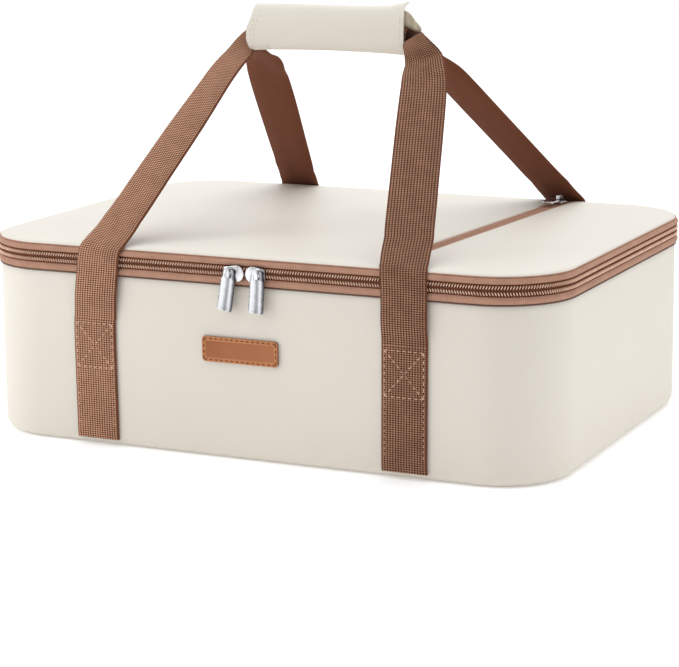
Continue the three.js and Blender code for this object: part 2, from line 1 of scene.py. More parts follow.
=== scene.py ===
# %% [markdown]
# # An insulated casserole carrier
#
# The carrier is a soft box of cream coated cloth over foam, with a zip round its lid, a zipped pocket in
# the lid, brown webbing handles and a cream wrap that holds the two handles together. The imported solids
# give every piece its place. This script dresses them: each soft piece is built as the cloth, tape or
# webbing that it really is.

# %% Load the frame
import math
from contextlib import contextmanager

import bpy
import numpy as np
from mathutils import Matrix, Vector


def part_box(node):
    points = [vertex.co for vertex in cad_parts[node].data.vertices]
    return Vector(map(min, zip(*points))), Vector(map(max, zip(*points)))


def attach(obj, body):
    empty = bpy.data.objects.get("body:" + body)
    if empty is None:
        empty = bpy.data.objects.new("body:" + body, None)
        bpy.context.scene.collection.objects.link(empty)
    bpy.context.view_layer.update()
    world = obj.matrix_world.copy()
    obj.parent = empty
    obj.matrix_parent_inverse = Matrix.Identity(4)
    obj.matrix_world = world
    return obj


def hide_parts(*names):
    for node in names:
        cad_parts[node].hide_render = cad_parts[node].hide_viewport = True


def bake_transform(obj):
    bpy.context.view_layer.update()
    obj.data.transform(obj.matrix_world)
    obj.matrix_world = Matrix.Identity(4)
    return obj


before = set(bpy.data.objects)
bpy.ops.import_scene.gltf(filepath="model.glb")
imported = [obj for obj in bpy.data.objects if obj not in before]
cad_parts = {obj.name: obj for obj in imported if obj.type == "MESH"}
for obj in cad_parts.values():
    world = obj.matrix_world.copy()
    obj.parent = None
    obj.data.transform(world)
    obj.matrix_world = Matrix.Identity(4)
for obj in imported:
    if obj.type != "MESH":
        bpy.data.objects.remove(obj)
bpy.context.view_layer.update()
bpy.ops.object.select_all(action="DESELECT")
MM = 0.001

# %% [markdown]
# ## Camera
#
# A long lens from a little above the lid, turned to show the front and the right side. A camera is placed
# by its yaw, pitch and roll about the point that it looks at, because those three angles are what one reads
# off a photo.

# %% Camera
YAW, PITCH, ROLL = (math.radians(angle) for angle in (25.17, 12.01, -0.5))
TARGET = Vector((-0.0034, 0, 0.0565))
DISTANCE = 1.683
LENS = 124.98
FAR_CLIP = 50

camera = bpy.data.objects.new("camera", bpy.data.cameras.new("camera"))
camera.data.lens = LENS
camera.data.clip_end = FAR_CLIP
turn = Matrix.Rotation(YAW, 4, "Z") @ Matrix.Rotation(math.pi / 2 - PITCH, 4, "X")
turn = turn @ Matrix.Rotation(ROLL, 4, "Z")
away = turn.to_3x3() @ Vector((0, 0, 1))
camera.matrix_world = Matrix.Translation(TARGET + away * DISTANCE) @ turn
bpy.context.scene.collection.objects.link(camera)
bpy.context.scene.camera = camera
print("camera at", tuple(round(value, 3) for value in camera.matrix_world.translation))

# %% [markdown]
# ## Floor and studio light
#
# A wide white floor, a white sky for an even fill, and soft boxes on both sides, above and behind. The left
# box is close to the front wall's left end and the right box lights the right wall. A black flag behind the
# camera, on its right, takes light from the corner between those walls, so the front darkens towards its
# right end.

# %% Floor and studio light
FLOOR_SIZE = 24
FLAG_SIZE = 4.2
BOX_TINT = (0.9, 0.955, 1)
FLAG_PLACE = (2.0, -2.4, 1.3)
FLAG_TURN = math.radians(40)
SKY = 0.76


def soft_box(name, place, aim, size, power):
    """A square area light of the given side, in watts, that faces the aim."""
    lamp = bpy.data.objects.new(name, bpy.data.lights.new(name, "AREA"))
    lamp.data.shape = "SQUARE"
    lamp.data.size = size
    lamp.data.energy = power
    lamp.data.color = BOX_TINT
    lamp.location = place
    lamp.rotation_euler = (Vector(aim) - Vector(place)).to_track_quat("-Z", "Y").to_euler()
    lamp.visible_camera = False
    bpy.context.scene.collection.objects.link(lamp)


bpy.ops.mesh.primitive_plane_add(size=FLOOR_SIZE, location=(0, 0, 0))
floor = bpy.context.object
floor.name = "floor"
soft_box("left_box", (-0.9, -0.75, 0.6), aim=(-0.15, -0.1, 0.1), size=0.6, power=3.6)
soft_box("right_box", (2.2, -0.2, 0.6), aim=(0.1, 0, 0.1), size=1.4, power=6.5)
soft_box("top_box", (0.1, 0.2, 2.6), aim=(0, 0, 0.1), size=3.6, power=46)
soft_box("back_box", (-0.6, 2.4, 1.7), aim=(0, 0, 0.13), size=2.6, power=12)

bpy.ops.mesh.primitive_plane_add(size=FLAG_SIZE)
flag = bpy.context.object
flag.name = "black_flag"
flag.data.transform(Matrix.Translation(FLAG_PLACE) @ Matrix.Rotation(FLAG_TURN, 4, "Z")
                    @ Matrix.Rotation(math.pi / 2, 4, "X"))
flag.visible_camera = False

world = bpy.data.worlds.new("studio")
world.use_nodes = True
backdrop = world.node_tree.nodes["Background"]
backdrop.inputs["Color"].default_value = (1, 1, 1, 1)
backdrop.inputs["Strength"].default_value = SKY
bpy.context.scene.world = world
bpy.context.scene.view_settings.view_transform = "Standard"

# %% [markdown]
# ## Small helpers for meshes
#
# Most of the carrier is strips: cloth, tape and webbing that run along a line with the same section all the
# way. A sweep makes them all. It skins rows of points and lays a UV map in metres, so that a weave has its
# real size whatever the strip's length.

# %% Mesh helpers


def activate(piece):
    """Selects one piece alone, as the operators need it."""
    bpy.ops.object.select_all(action="DESELECT")
    piece.select_set(True)
    bpy.context.view_layer.objects.active = piece


@contextmanager
def editing(piece):
    """Edit mode on one piece, for as long as the block lasts."""
    activate(piece)
    bpy.ops.object.mode_set(mode="EDIT")
    yield
    bpy.ops.object.mode_set(mode="OBJECT")


def mesh_piece(name, points, faces):
    mesh = bpy.data.meshes.new(name)
    mesh.from_pydata([tuple(point) for point in points], [], faces)
    piece = bpy.data.objects.new(name, mesh)
    bpy.context.scene.collection.objects.link(piece)
    return piece


def lay_uv(piece, corners):
    """A UV map from a (u, v) for each corner of each face in turn."""
    layer = piece.data.uv_layers.new(name="UVMap")
    layer.data.foreach_set("uv", np.array(corners, np.float32).ravel())


def face_outwards(piece):
    with editing(piece):
        bpy.ops.mesh.select_all(action="SELECT")
        bpy.ops.mesh.normals_make_consistent(inside=False)


def modify(piece, kind, **settings):
    """Adds a modifier with these settings and applies it."""
    activate(piece)
    modifier = piece.modifiers.new(kind.lower(), kind)
    for key, value in settings.items():
        setattr(modifier, key, value)
    bpy.ops.object.modifier_apply(modifier=modifier.name)


def smooth(piece, angle=None):
    activate(piece)
    if angle is None:
        bpy.ops.object.shade_smooth()
    else:
        bpy.ops.object.shade_smooth_by_angle(angle=math.radians(angle))


def running_length(points):
    return np.concatenate([[0], np.cumsum(np.linalg.norm(np.diff(np.array(points), axis=0), axis=1))])


def sweep(name, rows, ring=False):
    """A closed skin through rows of points. A ring joins its last row to its first, others have ends."""
    count = len(rows[0])
    ahead = running_length([row[0] for row in rows] + [rows[0][0]])
    across = running_length(list(rows[0]) + [rows[0][0]])
    faces, corners = [], []
    for i in range(len(rows) if ring else len(rows) - 1):
        below = (i + 1) % len(rows)
        for j in range(count):
            beside = (j + 1) % count
            faces.append((i * count + j, below * count + j, below * count + beside, i * count + beside))
            corners += [(across[j], ahead[i]), (across[j], ahead[i + 1])]
            corners += [(across[j + 1], ahead[i + 1]), (across[j + 1], ahead[i])]
    if not ring:
        last = (len(rows) - 1) * count
        faces += [tuple(range(count)), tuple(last + j for j in reversed(range(count)))]
        corners += [(across[j], 0) for j in range(count)]
        corners += [(across[j], ahead[-2]) for j in reversed(range(count))]
    piece = mesh_piece(name, [point for row in rows for point in row], faces)
    lay_uv(piece, corners)
    face_outwards(piece)
    smooth(piece)
    return piece


def smooth_line(stations, spacing):
    """Points about the spacing apart on a smooth curve. A station may hold more than a place."""
    values = np.array(stations, float)
    padded = np.vstack([2 * values[0] - values[1], values, 2 * values[-1] - values[-2]])
    line = []
    for i in range(1, len(padded) - 2):
        before, start, end, after = padded[i - 1:i + 3]
        bend = 2 * before - 5 * start + 4 * end - after
        swing = 3 * start - before - 3 * end + after
        steps = max(2, round(np.linalg.norm((end - start)[:3]) / spacing))
        for t in np.arange(steps) / steps:
            line.append(0.5 * (2 * start + (end - before) * t + bend * t ** 2 + swing * t ** 3))
    return np.array(line + [values[-1]])


# %% [markdown]
# ## The plan of the box
#
# The wall, the zip, the bindings and the lid all run round one rounded rectangle. Walking along it from the
# middle of the back, by way of the left side, gives a place and an outward direction for every distance. A
# strip that lies further in or out is only moved along that direction.

# %% The plan of the box
wall_low, wall_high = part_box("side_wall")
LENGTH = wall_high.x - wall_low.x
DEPTH = wall_high.y - wall_low.y
CORNER = 50 * MM
STRAIGHT_X = LENGTH / 2 - CORNER
STRAIGHT_Y = DEPTH / 2 - CORNER
BEND = CORNER * math.pi / 2
AROUND = 4 * (STRAIGHT_X + STRAIGHT_Y + BEND)
RUNS = [(STRAIGHT_X, False), (BEND, True), (2 * STRAIGHT_Y, False), (BEND, True), (2 * STRAIGHT_X, False),
        (BEND, True), (2 * STRAIGHT_Y, False), (BEND, True), (STRAIGHT_X, False)]


def plan(distance):
    """Place and outward direction on the wall's outline, that far from the middle of the back."""
    place, heading, left = Vector((0, DEPTH / 2)), math.pi, distance % AROUND
    for length, bends in RUNS:
        here = min(left, length)
        ahead = Vector((math.cos(heading), math.sin(heading)))
        inward = Vector((-ahead.y, ahead.x))
        if bends:
            angle = here / CORNER
            place += ahead * CORNER * math.sin(angle) + inward * CORNER * (1 - math.cos(angle))
            heading += angle
        else:
            place += ahead * here
        left -= length
        if left <= 0:
            break
    return place, Vector((math.sin(heading), -math.cos(heading)))


def at(distance, inset, z):
    """The point that far round the plan, inset from the wall's face."""
    place, out = plan(distance)
    return Vector((*(place - out * inset), z))


def round_plan(spacing):
    count = round(AROUND / spacing)
    return [AROUND * i / count for i in range(count)]


def rings(levels, spacing):
    """A ring of points round the plan at each [inset, z]."""
    return [[at(s, inset * MM, z * MM) for s in round_plan(spacing)] for inset, z in levels]


def plates(name, levels, spacing=8 * MM):
    """A pad of the plan's shape, from rings of [inset, z]."""
    return sweep(name, rings(levels, spacing))


def band(name, profile, start=None, stop=None, spacing=5 * MM):
    """A strip of the section [inset, z] round the plan, the whole way or from start to stop."""
    if start is None:
        stations = round_plan(spacing)
    else:
        stations = np.linspace(start, stop, round((stop - start) / spacing) + 1)
    rows = [[at(s, inset * MM, z * MM) for inset, z in profile] for s in stations]
    return sweep(name, rows, ring=start is None)


def cord_round(name, inset, z, radius, start, stop):
    """A thin round cord along the plan."""
    angles = [math.pi / 3 * i for i in range(6)]
    section = [(inset + radius * math.cos(a), z + radius * math.sin(a)) for a in angles]
    return band(name, section, start, stop, 4 * MM)


print("round the plan:", round(AROUND / MM), "mm")

# %% [markdown]
# ## Shared surface effects
#
# Four effects come back in many finishes, so each is a node group: the fine grain of coated cloth, the slow
# uneven tone that all cloth has, a weave of ribs on the UV map, and the twist of a sewing thread.

# %% Shared surface effects


def new_group(name, inputs, outputs):
    group = bpy.data.node_groups.new(name, "ShaderNodeTree")
    for label, value in inputs:
        socket = group.interface.new_socket(label, in_out="INPUT", socket_type="NodeSocketFloat")
        socket.default_value = value
    for label in outputs:
        group.interface.new_socket(label, in_out="OUTPUT", socket_type="NodeSocketFloat")
    return group, group.nodes.new("NodeGroupInput"), group.nodes.new("NodeGroupOutput")


def node(tree, kind, inputs=None, **settings):
    """A shader node; inputs may be values or the sockets that feed it."""
    made = tree.nodes.new(kind)
    for key, value in settings.items():
        setattr(made, key, value)
    for key, value in (inputs or {}).items():
        if isinstance(value, bpy.types.NodeSocket):
            tree.links.new(value, made.inputs[key])
        else:
            made.inputs[key].default_value = value
    return made


def math_node(tree, operation, first, second=0.0, third=None):
    inputs = {0: first, 1: second}
    if third is not None:
        inputs[2] = third
    return node(tree, "ShaderNodeMath", inputs, operation=operation).outputs[0]


def grain_group():
    """Fine pebbled grain: a height for the bump and a mask for the gloss."""
    group, given, put = new_group("cloth_grain", [("Scale", 900)], ["Height", "Mask"])
    place = node(group, "ShaderNodeTexCoord").outputs["Object"]
    cells = node(group, "ShaderNodeTexVoronoi", {"Vector": place, "Scale": given.outputs["Scale"]})
    soft = node(group, "ShaderNodeTexNoise", {"Vector": place, "Scale": given.outputs["Scale"], "Detail": 3})
    height = math_node(group, "MULTIPLY_ADD", cells.outputs["Distance"], 0.5, soft.outputs["Fac"])
    group.links.new(height, put.inputs["Height"])
    group.links.new(soft.outputs["Fac"], put.inputs["Mask"])
    return group


def tone_group():
    """Slow uneven tone, from 0 to 1 about a middle of one half."""
    group, given, put = new_group("uneven_tone", [("Scale", 14)], ["Tone"])
    place = node(group, "ShaderNodeTexCoord").outputs["Object"]
    slow = node(group, "ShaderNodeTexNoise", {"Vector": place, "Scale": given.outputs["Scale"], "Detail": 4})
    group.links.new(slow.outputs["Fac"], put.inputs["Tone"])
    return group


def weave_group():
    """Ribs across and along the strip on its UV map: raised yarn crossings with dark gaps between them."""
    group, given, put = new_group("rib_weave", [("Across", 0.002), ("Along", 0.002)], ["Height", "Crossing"])
    place = node(group, "ShaderNodeSeparateXYZ", {0: node(group, "ShaderNodeTexCoord").outputs["UV"]})
    ribs = []
    for axis, label in enumerate(("Across", "Along")):
        cells = math_node(group, "DIVIDE", place.outputs[axis], given.outputs[label])
        swing = math_node(group, "SINE", math_node(group, "MULTIPLY", cells, math.pi))
        ribs.append(math_node(group, "ABSOLUTE", swing))
    crossing = math_node(group, "MULTIPLY", ribs[0], ribs[1])
    group.links.new(crossing, put.inputs["Crossing"])
    group.links.new(math_node(group, "POWER", crossing, 0.5), put.inputs["Height"])
    return group


def twist_group():
    """Slanting strands of a twisted thread."""
    group, given, put = new_group("thread_twist", [("Scale", 700)], ["Height"])
    place = node(group, "ShaderNodeTexCoord").outputs["Object"]
    inputs = {"Vector": place, "Scale": given.outputs["Scale"], "Distortion": 1.5}
    strands = node(group, "ShaderNodeTexWave", inputs, bands_direction="DIAGONAL")
    group.links.new(strands.outputs["Fac"], put.inputs["Height"])
    return group


GRAIN, TONE, WEAVE, TWIST = grain_group(), tone_group(), weave_group(), twist_group()
print("node groups:", [group.name for group in bpy.data.node_groups])

# %% [markdown]
# ## Finishes
#
# Colours are written as they look on screen, from 0 to 255, and turned into linear light. Every finish
# mixes two tones by a mask that changes over the surface, sets its roughness the same way, and most take
# their relief from a bump.

# %% Finish helpers


def linear(red, green, blue):
    """A screen colour as linear light."""
    values = []
    for value in (red, green, blue):
        part = value / 255
        values.append(part / 12.92 if part <= 0.04045 else ((part + 0.055) / 1.055) ** 2.4)
    return (*values, 1)


def finish(name, **settings):
    """A new material with the Principled shader's own sockets set."""
    material = bpy.data.materials.new(name)
    material.use_nodes = True
    shader = material.node_tree.nodes["Principled BSDF"]
    for key, value in settings.items():
        shader.inputs[key.replace("_", " ")].default_value = value
    return material, material.node_tree, shader


def place_group(tree, group, inputs):
    made = tree.nodes.new("ShaderNodeGroup")
    made.node_tree = group
    for key, value in inputs.items():
        made.inputs[key].default_value = value
    return made


def ramp(tree, value, low, high, start=0.0, stop=1.0):
    """Maps a value from start to stop onto low to high."""
    inputs = {"Value": value, "From Min": start, "From Max": stop, "To Min": low, "To Max": high}
    return node(tree, "ShaderNodeMapRange", inputs).outputs["Result"]


def two_tone(tree, shader, mask, first, second):
    """Base colour from one screen colour to another, by a mask."""
    mixed = tree.nodes.new("ShaderNodeMix")
    mixed.data_type = "RGBA"
    colours = [socket for socket in mixed.inputs if socket.type == "RGBA"]
    colours[0].default_value = linear(*first)
    colours[1].default_value = linear(*second)
    tree.links.new(mask, mixed.inputs["Factor"])
    result = [socket for socket in mixed.outputs if socket.type == "RGBA"][0]
    tree.links.new(result, shader.inputs["Base Color"])


def relief(tree, shader, height, depth, strength=1.0):
    bump = node(tree, "ShaderNodeBump", {"Height": height, "Distance": depth, "Strength": strength})
    tree.links.new(bump.outputs["Normal"], shader.inputs["Normal"])


def uneven_gloss(tree, shader, mask, low, high):
    tree.links.new(ramp(tree, mask, low, high), shader.inputs["Roughness"])


# %% [markdown]
# ## The cloths
#
# The cream cloth is coated: smooth, a little satin, with a pebble that only shows close by. The webbing is
# a coarse rib weave, light where the yarn comes up and dark between, and smooth and dark on its inner face.
# The zip tape is the same idea at a finer scale.

# %% Cloth finishes
CREAM_LOW, CREAM_HIGH = (216, 207, 194), (225, 217, 205)
WEBBING_GAP, WEBBING_YARN = (58, 31, 20), (214, 159, 127)
INNER_AND_SHADE_GAP, INNER_AND_SHADE_YARN = (98, 54, 36), (132, 80, 56)
TAPE_GAP, TAPE_YARN = (134, 91, 71), (207, 162, 138)
PAINTED_LIGHT_REACH = 0.12


def coated(name, low, high, tone_scale, grain_scale, gloss, depth, **settings):
    """A smooth skin such as coated cloth or leather, with a slow tone and a fine grain."""
    material, tree, shader = finish(name, **settings)
    tone = place_group(tree, TONE, {"Scale": tone_scale})
    grain = place_group(tree, GRAIN, {"Scale": grain_scale})
    two_tone(tree, shader, tone.outputs["Tone"], low, high)
    uneven_gloss(tree, shader, grain.outputs["Mask"], *gloss)
    relief(tree, shader, grain.outputs["Height"], depth)
    return material


def woven(name, across, along, gap, yarn, depth, sharpness=1.0, painted_light=None):
    """A rib weave on the UV map, with an uneven tone over it and perhaps painted light, lighter at the left
    and darker at the right.
    """
    material, tree, shader = finish(name, Sheen_Weight=0.04, Specular_IOR_Level=0.12)
    weave = place_group(tree, WEAVE, {"Across": across, "Along": along})
    tone = place_group(tree, TONE, {"Scale": 120})
    shown = math_node(tree, "POWER", weave.outputs["Crossing"], sharpness)
    mask = math_node(tree, "MULTIPLY", shown, ramp(tree, tone.outputs["Tone"], 0.6, 1.3))
    # Painted light: the mask is scaled from lighter at the left to darker at the right.
    if painted_light:
        place = node(tree, "ShaderNodeTexCoord").outputs["Object"]
        x = node(tree, "ShaderNodeSeparateXYZ", {0: place}).outputs["X"]
        mask = math_node(tree, "MULTIPLY", mask, ramp(tree, x, *painted_light, start=-PAINTED_LIGHT_REACH, stop=PAINTED_LIGHT_REACH))
    two_tone(tree, shader, mask, gap, yarn)
    uneven_gloss(tree, shader, weave.outputs["Crossing"], 0.95, 0.75)
    relief(tree, shader, weave.outputs["Height"], depth)
    return material


CREAM = coated("cream_coated_cloth", CREAM_LOW, CREAM_HIGH, tone_scale=7, grain_scale=1300,
               gloss=(0.42, 0.58), depth=0.04 * MM, Sheen_Weight=0.1, Specular_IOR_Level=0.35)
# The webbing carries painted light, lighter at the left and darker at the right, as the light falls from the
# left.
WEBBING = woven("webbing_rib_weave", 1.9 * MM, 1.5 * MM, WEBBING_GAP, WEBBING_YARN, 0.35 * MM,
                sharpness=1.2, painted_light=(1.45, 0.76))
# The webbing's darker inner face. The same finish is painted shade on the zip tape's back behind the coil
# and on the coil's locked heads.
INNER_FACE_AND_SHADE = woven("webbing_inner_face_and_painted_shade", 0.8 * MM, 0.7 * MM, INNER_AND_SHADE_GAP, INNER_AND_SHADE_YARN, 0.06 * MM)
TAPE = woven("zip_tape_weave", 0.45 * MM, 1.2 * MM, TAPE_GAP, TAPE_YARN, 0.1 * MM, 0.5)
# Painted shade: dark tape for the pocket zip's grooves and for the webbing where it turns into the wrap's
# mouth.
ZIP_SHADE = woven("zip_tape_in_shade", 0.45 * MM, 0.8 * MM, (52, 30, 21), (80, 50, 37), 0.05 * MM)
LINING = woven("wrap_lining", 0.7 * MM, 0.6 * MM, (224, 210, 178), (246, 236, 212), 0.06 * MM, 0.5)
BINDING = woven("cream_binding_tape", 0.9 * MM, 0.8 * MM, (214, 206, 192), (240, 235, 224), 0.08 * MM, 0.5)
print("cloth finishes made")

# %% [markdown]
# ## The hard and shiny finishes
#
# Coil, leather, plated metal, foil, foam, board and thread. The plated metal has fine streaks that run up
# and down. The foil is crinkled all over by the sewing behind it.

# %% Hard finishes
FLOOR_GLOW = 0.2


def coil_plastic():
    material, tree, shader = finish("zip_coil_plastic", Specular_IOR_Level=0.5)
    tone = place_group(tree, TONE, {"Scale": 160})
    two_tone(tree, shader, tone.outputs["Tone"], (206, 158, 130), (246, 210, 184))
    uneven_gloss(tree, shader, tone.outputs["Tone"], 0.3, 0.45)
    return material


def tan_leather(name, low, high):
    return coated(name, low, high, tone_scale=60, grain_scale=700, gloss=(0.42, 0.62), depth=0.08 * MM,
                  Specular_IOR_Level=0.4)


def plated_metal():
    material, tree, shader = finish("plated_metal", Metallic=1.0)
    place = node(tree, "ShaderNodeTexCoord").outputs["Object"]
    drawn = node(tree, "ShaderNodeMapping", {"Vector": place, "Scale": (300, 300, 40)}).outputs["Vector"]
    noise = node(tree, "ShaderNodeTexNoise", {"Vector": drawn, "Scale": 1, "Detail": 3}).outputs["Fac"]
    streaks_and_painted_reflections = ramp(tree, noise, 0, 1, start=0.38, stop=0.62)
    two_tone(tree, shader, streaks_and_painted_reflections, (168, 168, 171), (236, 235, 236))
    uneven_gloss(tree, shader, streaks_and_painted_reflections, 0.16, 0.34)
    relief(tree, shader, streaks_and_painted_reflections, 0.02 * MM)
    return material


def crinkled_foil():
    material, tree, shader = finish("crinkled_foil", Metallic=1.0)
    place = node(tree, "ShaderNodeTexCoord").outputs["Object"]
    folds = node(tree, "ShaderNodeTexVoronoi", {"Vector": place, "Scale": 75}).outputs["Distance"]
    tone = place_group(tree, TONE, {"Scale": 40})
    two_tone(tree, shader, tone.outputs["Tone"], (196, 198, 202), (228, 229, 232))
    uneven_gloss(tree, shader, tone.outputs["Tone"], 0.2, 0.38)
    relief(tree, shader, math_node(tree, "ADD", folds, tone.outputs["Tone"]), 1.6 * MM, 0.6)
    return material


def grained(name, low, high, scale, depth, rough):
    """A plain dull stuff with grain, such as foam, board or fastener pile."""
    material, tree, shader = finish(name)
    grain = place_group(tree, GRAIN, {"Scale": scale})
    two_tone(tree, shader, grain.outputs["Mask"], low, high)
    uneven_gloss(tree, shader, grain.outputs["Mask"], *rough)
    relief(tree, shader, grain.outputs["Height"], depth)
    return material


def thread(name, low, high):
    material, tree, shader = finish(name, Sheen_Weight=0.04)
    twist = place_group(tree, TWIST, {"Scale": 260})
    two_tone(tree, shader, twist.outputs["Height"], low, high)
    uneven_gloss(tree, shader, twist.outputs["Height"], 0.55, 0.75)
    relief(tree, shader, twist.outputs["Height"], 0.08 * MM)
    return material


COIL = coil_plastic()
LEATHER = tan_leather("tan_leather", (172, 106, 60), (198, 130, 80))
LEATHER_FIELD = tan_leather("pressed_leather", (150, 86, 46), (172, 106, 62))
LEATHER_EDGE = tan_leather("leather_edge", (112, 64, 36), (138, 84, 50))
METAL = plated_metal()
FOIL = crinkled_foil()
FOAM = grained("closed_cell_foam", (232, 232, 226), (248, 248, 243), 500, 0.2 * MM, (0.85, 0.98))
BOARD = grained("stiff_board", (120, 120, 116), (140, 140, 136), 900, 0.05 * MM, (0.55, 0.7))
PILE = grained("fastener_pile", (206, 198, 184), (232, 226, 214), 1600, 0.5 * MM, (0.9, 1.0))
CREAM_THREAD = thread("cream_thread", (214, 206, 190), (248, 244, 236))
PINK_THREAD = thread("strap_thread", (178, 132, 110), (234, 192, 168))
BROWN_THREAD = thread("label_thread", (84, 30, 10), (132, 58, 24))
# The dark seam cord is painted shade, standing for the shade under the lower zip tape's edge.
SEAM_SHADE = thread("seam_cord", (84, 60, 50), (120, 90, 76))
FLAG_BLACK = grained("black_flag_cloth", (8, 8, 8), (14, 14, 14), 300, 0.1 * MM, (0.9, 1.0))
FLOOR_WHITE = grained("white_floor", (252, 252, 252), (255, 255, 255), 40, 0.01 * MM, (0.7, 0.8))
floor_shader = FLOOR_WHITE.node_tree.nodes["Principled BSDF"]
floor_shader.inputs["Emission Color"].default_value = (1, 1, 1, 1)
floor_shader.inputs["Emission Strength"].default_value = FLOOR_GLOW
print("finishes:", [material.name for material in bpy.data.materials])

# %% [markdown]
# ## Settling a piece
#
# Every finished piece gets its material and the body that it moves with, and the solids that it stands for
# are hidden. One helper says it all in one line, so the modelling cells stay about shape.

# %% Settling a piece


def paint(piece, *materials):
    piece.data.materials.clear()
    for material in materials:
        piece.data.materials.append(material)


def settle(piece, body, slot, material, *stands_for):
    """Gives a finished piece its material and its body, and hides the nodes that it stands for. The slot is
    not used.
    """
    if material is not None:
        paint(piece, material)
    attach(piece, body)
    if stands_for:
        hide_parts(*stands_for)
    print(piece.name, len(piece.data.polygons), "faces on", body)


paint(floor, FLOOR_WHITE)
paint(flag, FLAG_BLACK)
print("painted:", floor.name, flag.name)

# %% [markdown]
# ## Stitches
#
# A stitch is a short thread that comes up, lies on the cloth and goes down again. One small capsule with
# its ends sunk is enough, because a seam has hundreds of them.

# %% Stitch helper
STITCH_ROWS = [(0.0, 0.3, -0.7), (0.2, 0.85, 0.2), (0.5, 1.0, 0.45), (0.8, 0.85, 0.2), (1.0, 0.3, -0.7)]
STITCH_SIDES = 6
RUN_SPACING = 6 * MM


def stitch_faces():
    """The faces of one stitch: its sides from row to row, then its two ends."""
    last = (len(STITCH_ROWS) - 1) * STITCH_SIDES
    faces = []
    for a in range(0, last, STITCH_SIDES):
        b = a + STITCH_SIDES
        for j in range(STITCH_SIDES):
            after = (j + 1) % STITCH_SIDES
            faces.append((a + j, b + j, b + after, a + after))
    end = range(STITCH_SIDES)
    return faces + [tuple(end), tuple(last + j for j in reversed(end))]


STITCH_FACES = stitch_faces()


def stitch_points(start, end, normal, radius):
    """The points of one stitch, in rings from its start to its end."""
    side = (end - start).cross(normal).normalized()
    points = []
    for t, thick, rise in STITCH_ROWS:
        centre = start.lerp(end, t) + normal * rise * radius
        for j in range(STITCH_SIDES):
            angle = 2 * math.pi * j / STITCH_SIDES
            spoke = side * math.cos(angle) + normal * math.sin(angle)
            points.append(centre + spoke * radius * thick)
    return points


def part_way(distance, ahead, values):
    return Vector([np.interp(distance, ahead, axis) for axis in values.T])


def stitches(name, runs, length, gap, radius):
    """Stitches of a size in mm along runs of (place, normal) points, each run from its start to its end."""
    length, gap, radius = length * MM, gap * MM, radius * MM
    points, faces = [], []
    for run in runs:
        places = np.array([place for place, _ in run], float)
        normals = np.array([normal for _, normal in run], float)
        ahead = running_length(places)
        number = max(1, int((ahead[-1] + gap) / (length + gap)))
        pitch = (ahead[-1] + gap) / number
        for k in range(number):
            start = part_way(k * pitch, ahead, places)
            end = part_way((k + 1) * pitch - gap, ahead, places)
            normal = part_way((k + 0.5) * pitch, ahead, normals).normalized()
            faces += [tuple(len(points) + index for index in face) for face in STITCH_FACES]
            points += stitch_points(start, end, normal, radius)
    piece = mesh_piece(name, points, faces)
    face_outwards(piece)
    smooth(piece)
    return piece


def plan_run(inset, z, up):
    """A run of stitches all round the plan, facing straight up at 1, and down and outwards at -1."""
    run = []
    for s in np.linspace(0, AROUND, round(AROUND / RUN_SPACING) + 1):
        _, out = plan(s)
        run.append((at(s, inset * MM, z * MM), Vector((*(out * (1 - up)), up))))
    return run


# %% [markdown]
# ## The wall
#
# One sheet of cream cloth runs round the box. It is drawn in a little at the zip and rolls under at the
# floor, so its section is a tall shallow bow with a round foot. The section is closed, with the cloth's own
# thickness.

# %% The wall
WALL_TOP = 117.9
FOOT = 8
CLOTH = 1.2
WALL_BOW = [(0.9, WALL_TOP), (0.5, 117), (0.35, 113), (0.2, 104), (0.08, 90), (0.02, 70), (0.02, 46),
            (0.05, 26)]
LINING_IN = CLOTH + 0.1
BASE_LEVELS = [(11.4, 1.3), (11.2, 0.7), (11.6, 0.15), (14, 0), (40, 0)]


def foot_arc(radius):
    angles = [math.pi / 2 * i / 8 for i in range(9)]
    return [(FOOT - radius * math.cos(a), FOOT - radius * math.sin(a)) for a in angles]


foot = [(0.05, 14), *foot_arc(FOOT - 0.05), (11, 0.1), (11, CLOTH)]
lining_foot = [(FOOT - 0.2, LINING_IN), *reversed(foot_arc(FOOT - CLOTH - 0.1))]
lining_side = [(LINING_IN, 60), (1.6, WALL_TOP)]
wall = band("wall_cloth", WALL_BOW + foot + lining_foot + lining_side)
settle(wall, "body", "cream_cloth", CREAM, "side_wall")

settle(plates("base_cloth", BASE_LEVELS), "body", "cream_cloth", CREAM, "base_panel")
base_seam = stitches("base_seam_stitches", [plan_run(13, 0.1, -1)], length=4, gap=1.6, radius=0.35)
settle(base_seam, "body", "cream_cloth", CREAM_THREAD)

# %% [markdown]
# ## Foam, board and the foil tub
#
# Between the wall and the foil lie a foam sheet all round, a foam sheet and a stiff board in the base. They
# are hidden, but they are there. The tub is one sheet of foil film, and a binding tape closes the rim.

# %% Foam, board and tub
WALL_FOAM = [(1.9, 10.4), (4.2, 9.9), (6.5, 10.4), (6.5, 115.4), (4.2, 116), (1.9, 115.4)]
TUB = [(40, 10.7), (14, 10.7), (9.5, 11.2), (8.2, 12.6), (7.9, 16), (7.8, 60), (7.8, 115.9), (7.1, 115.9),
       (7.1, 12), (9, 9.9), (40, 9.9)]
RIM = [(1.8, 116.5), (1.7, 117.3), (2.6, 117.75), (4.8, 117.8), (7, 117.75), (7.7, 117.2), (7.6, 116.4),
       (4.8, 116.25)]


def pad_levels(inset, bottom, top, edge=1.2):
    """The rings of a flat pad with rounded edges."""
    return [(inset + edge, bottom), (inset, bottom + edge), (inset, top - edge), (inset + edge, top)]


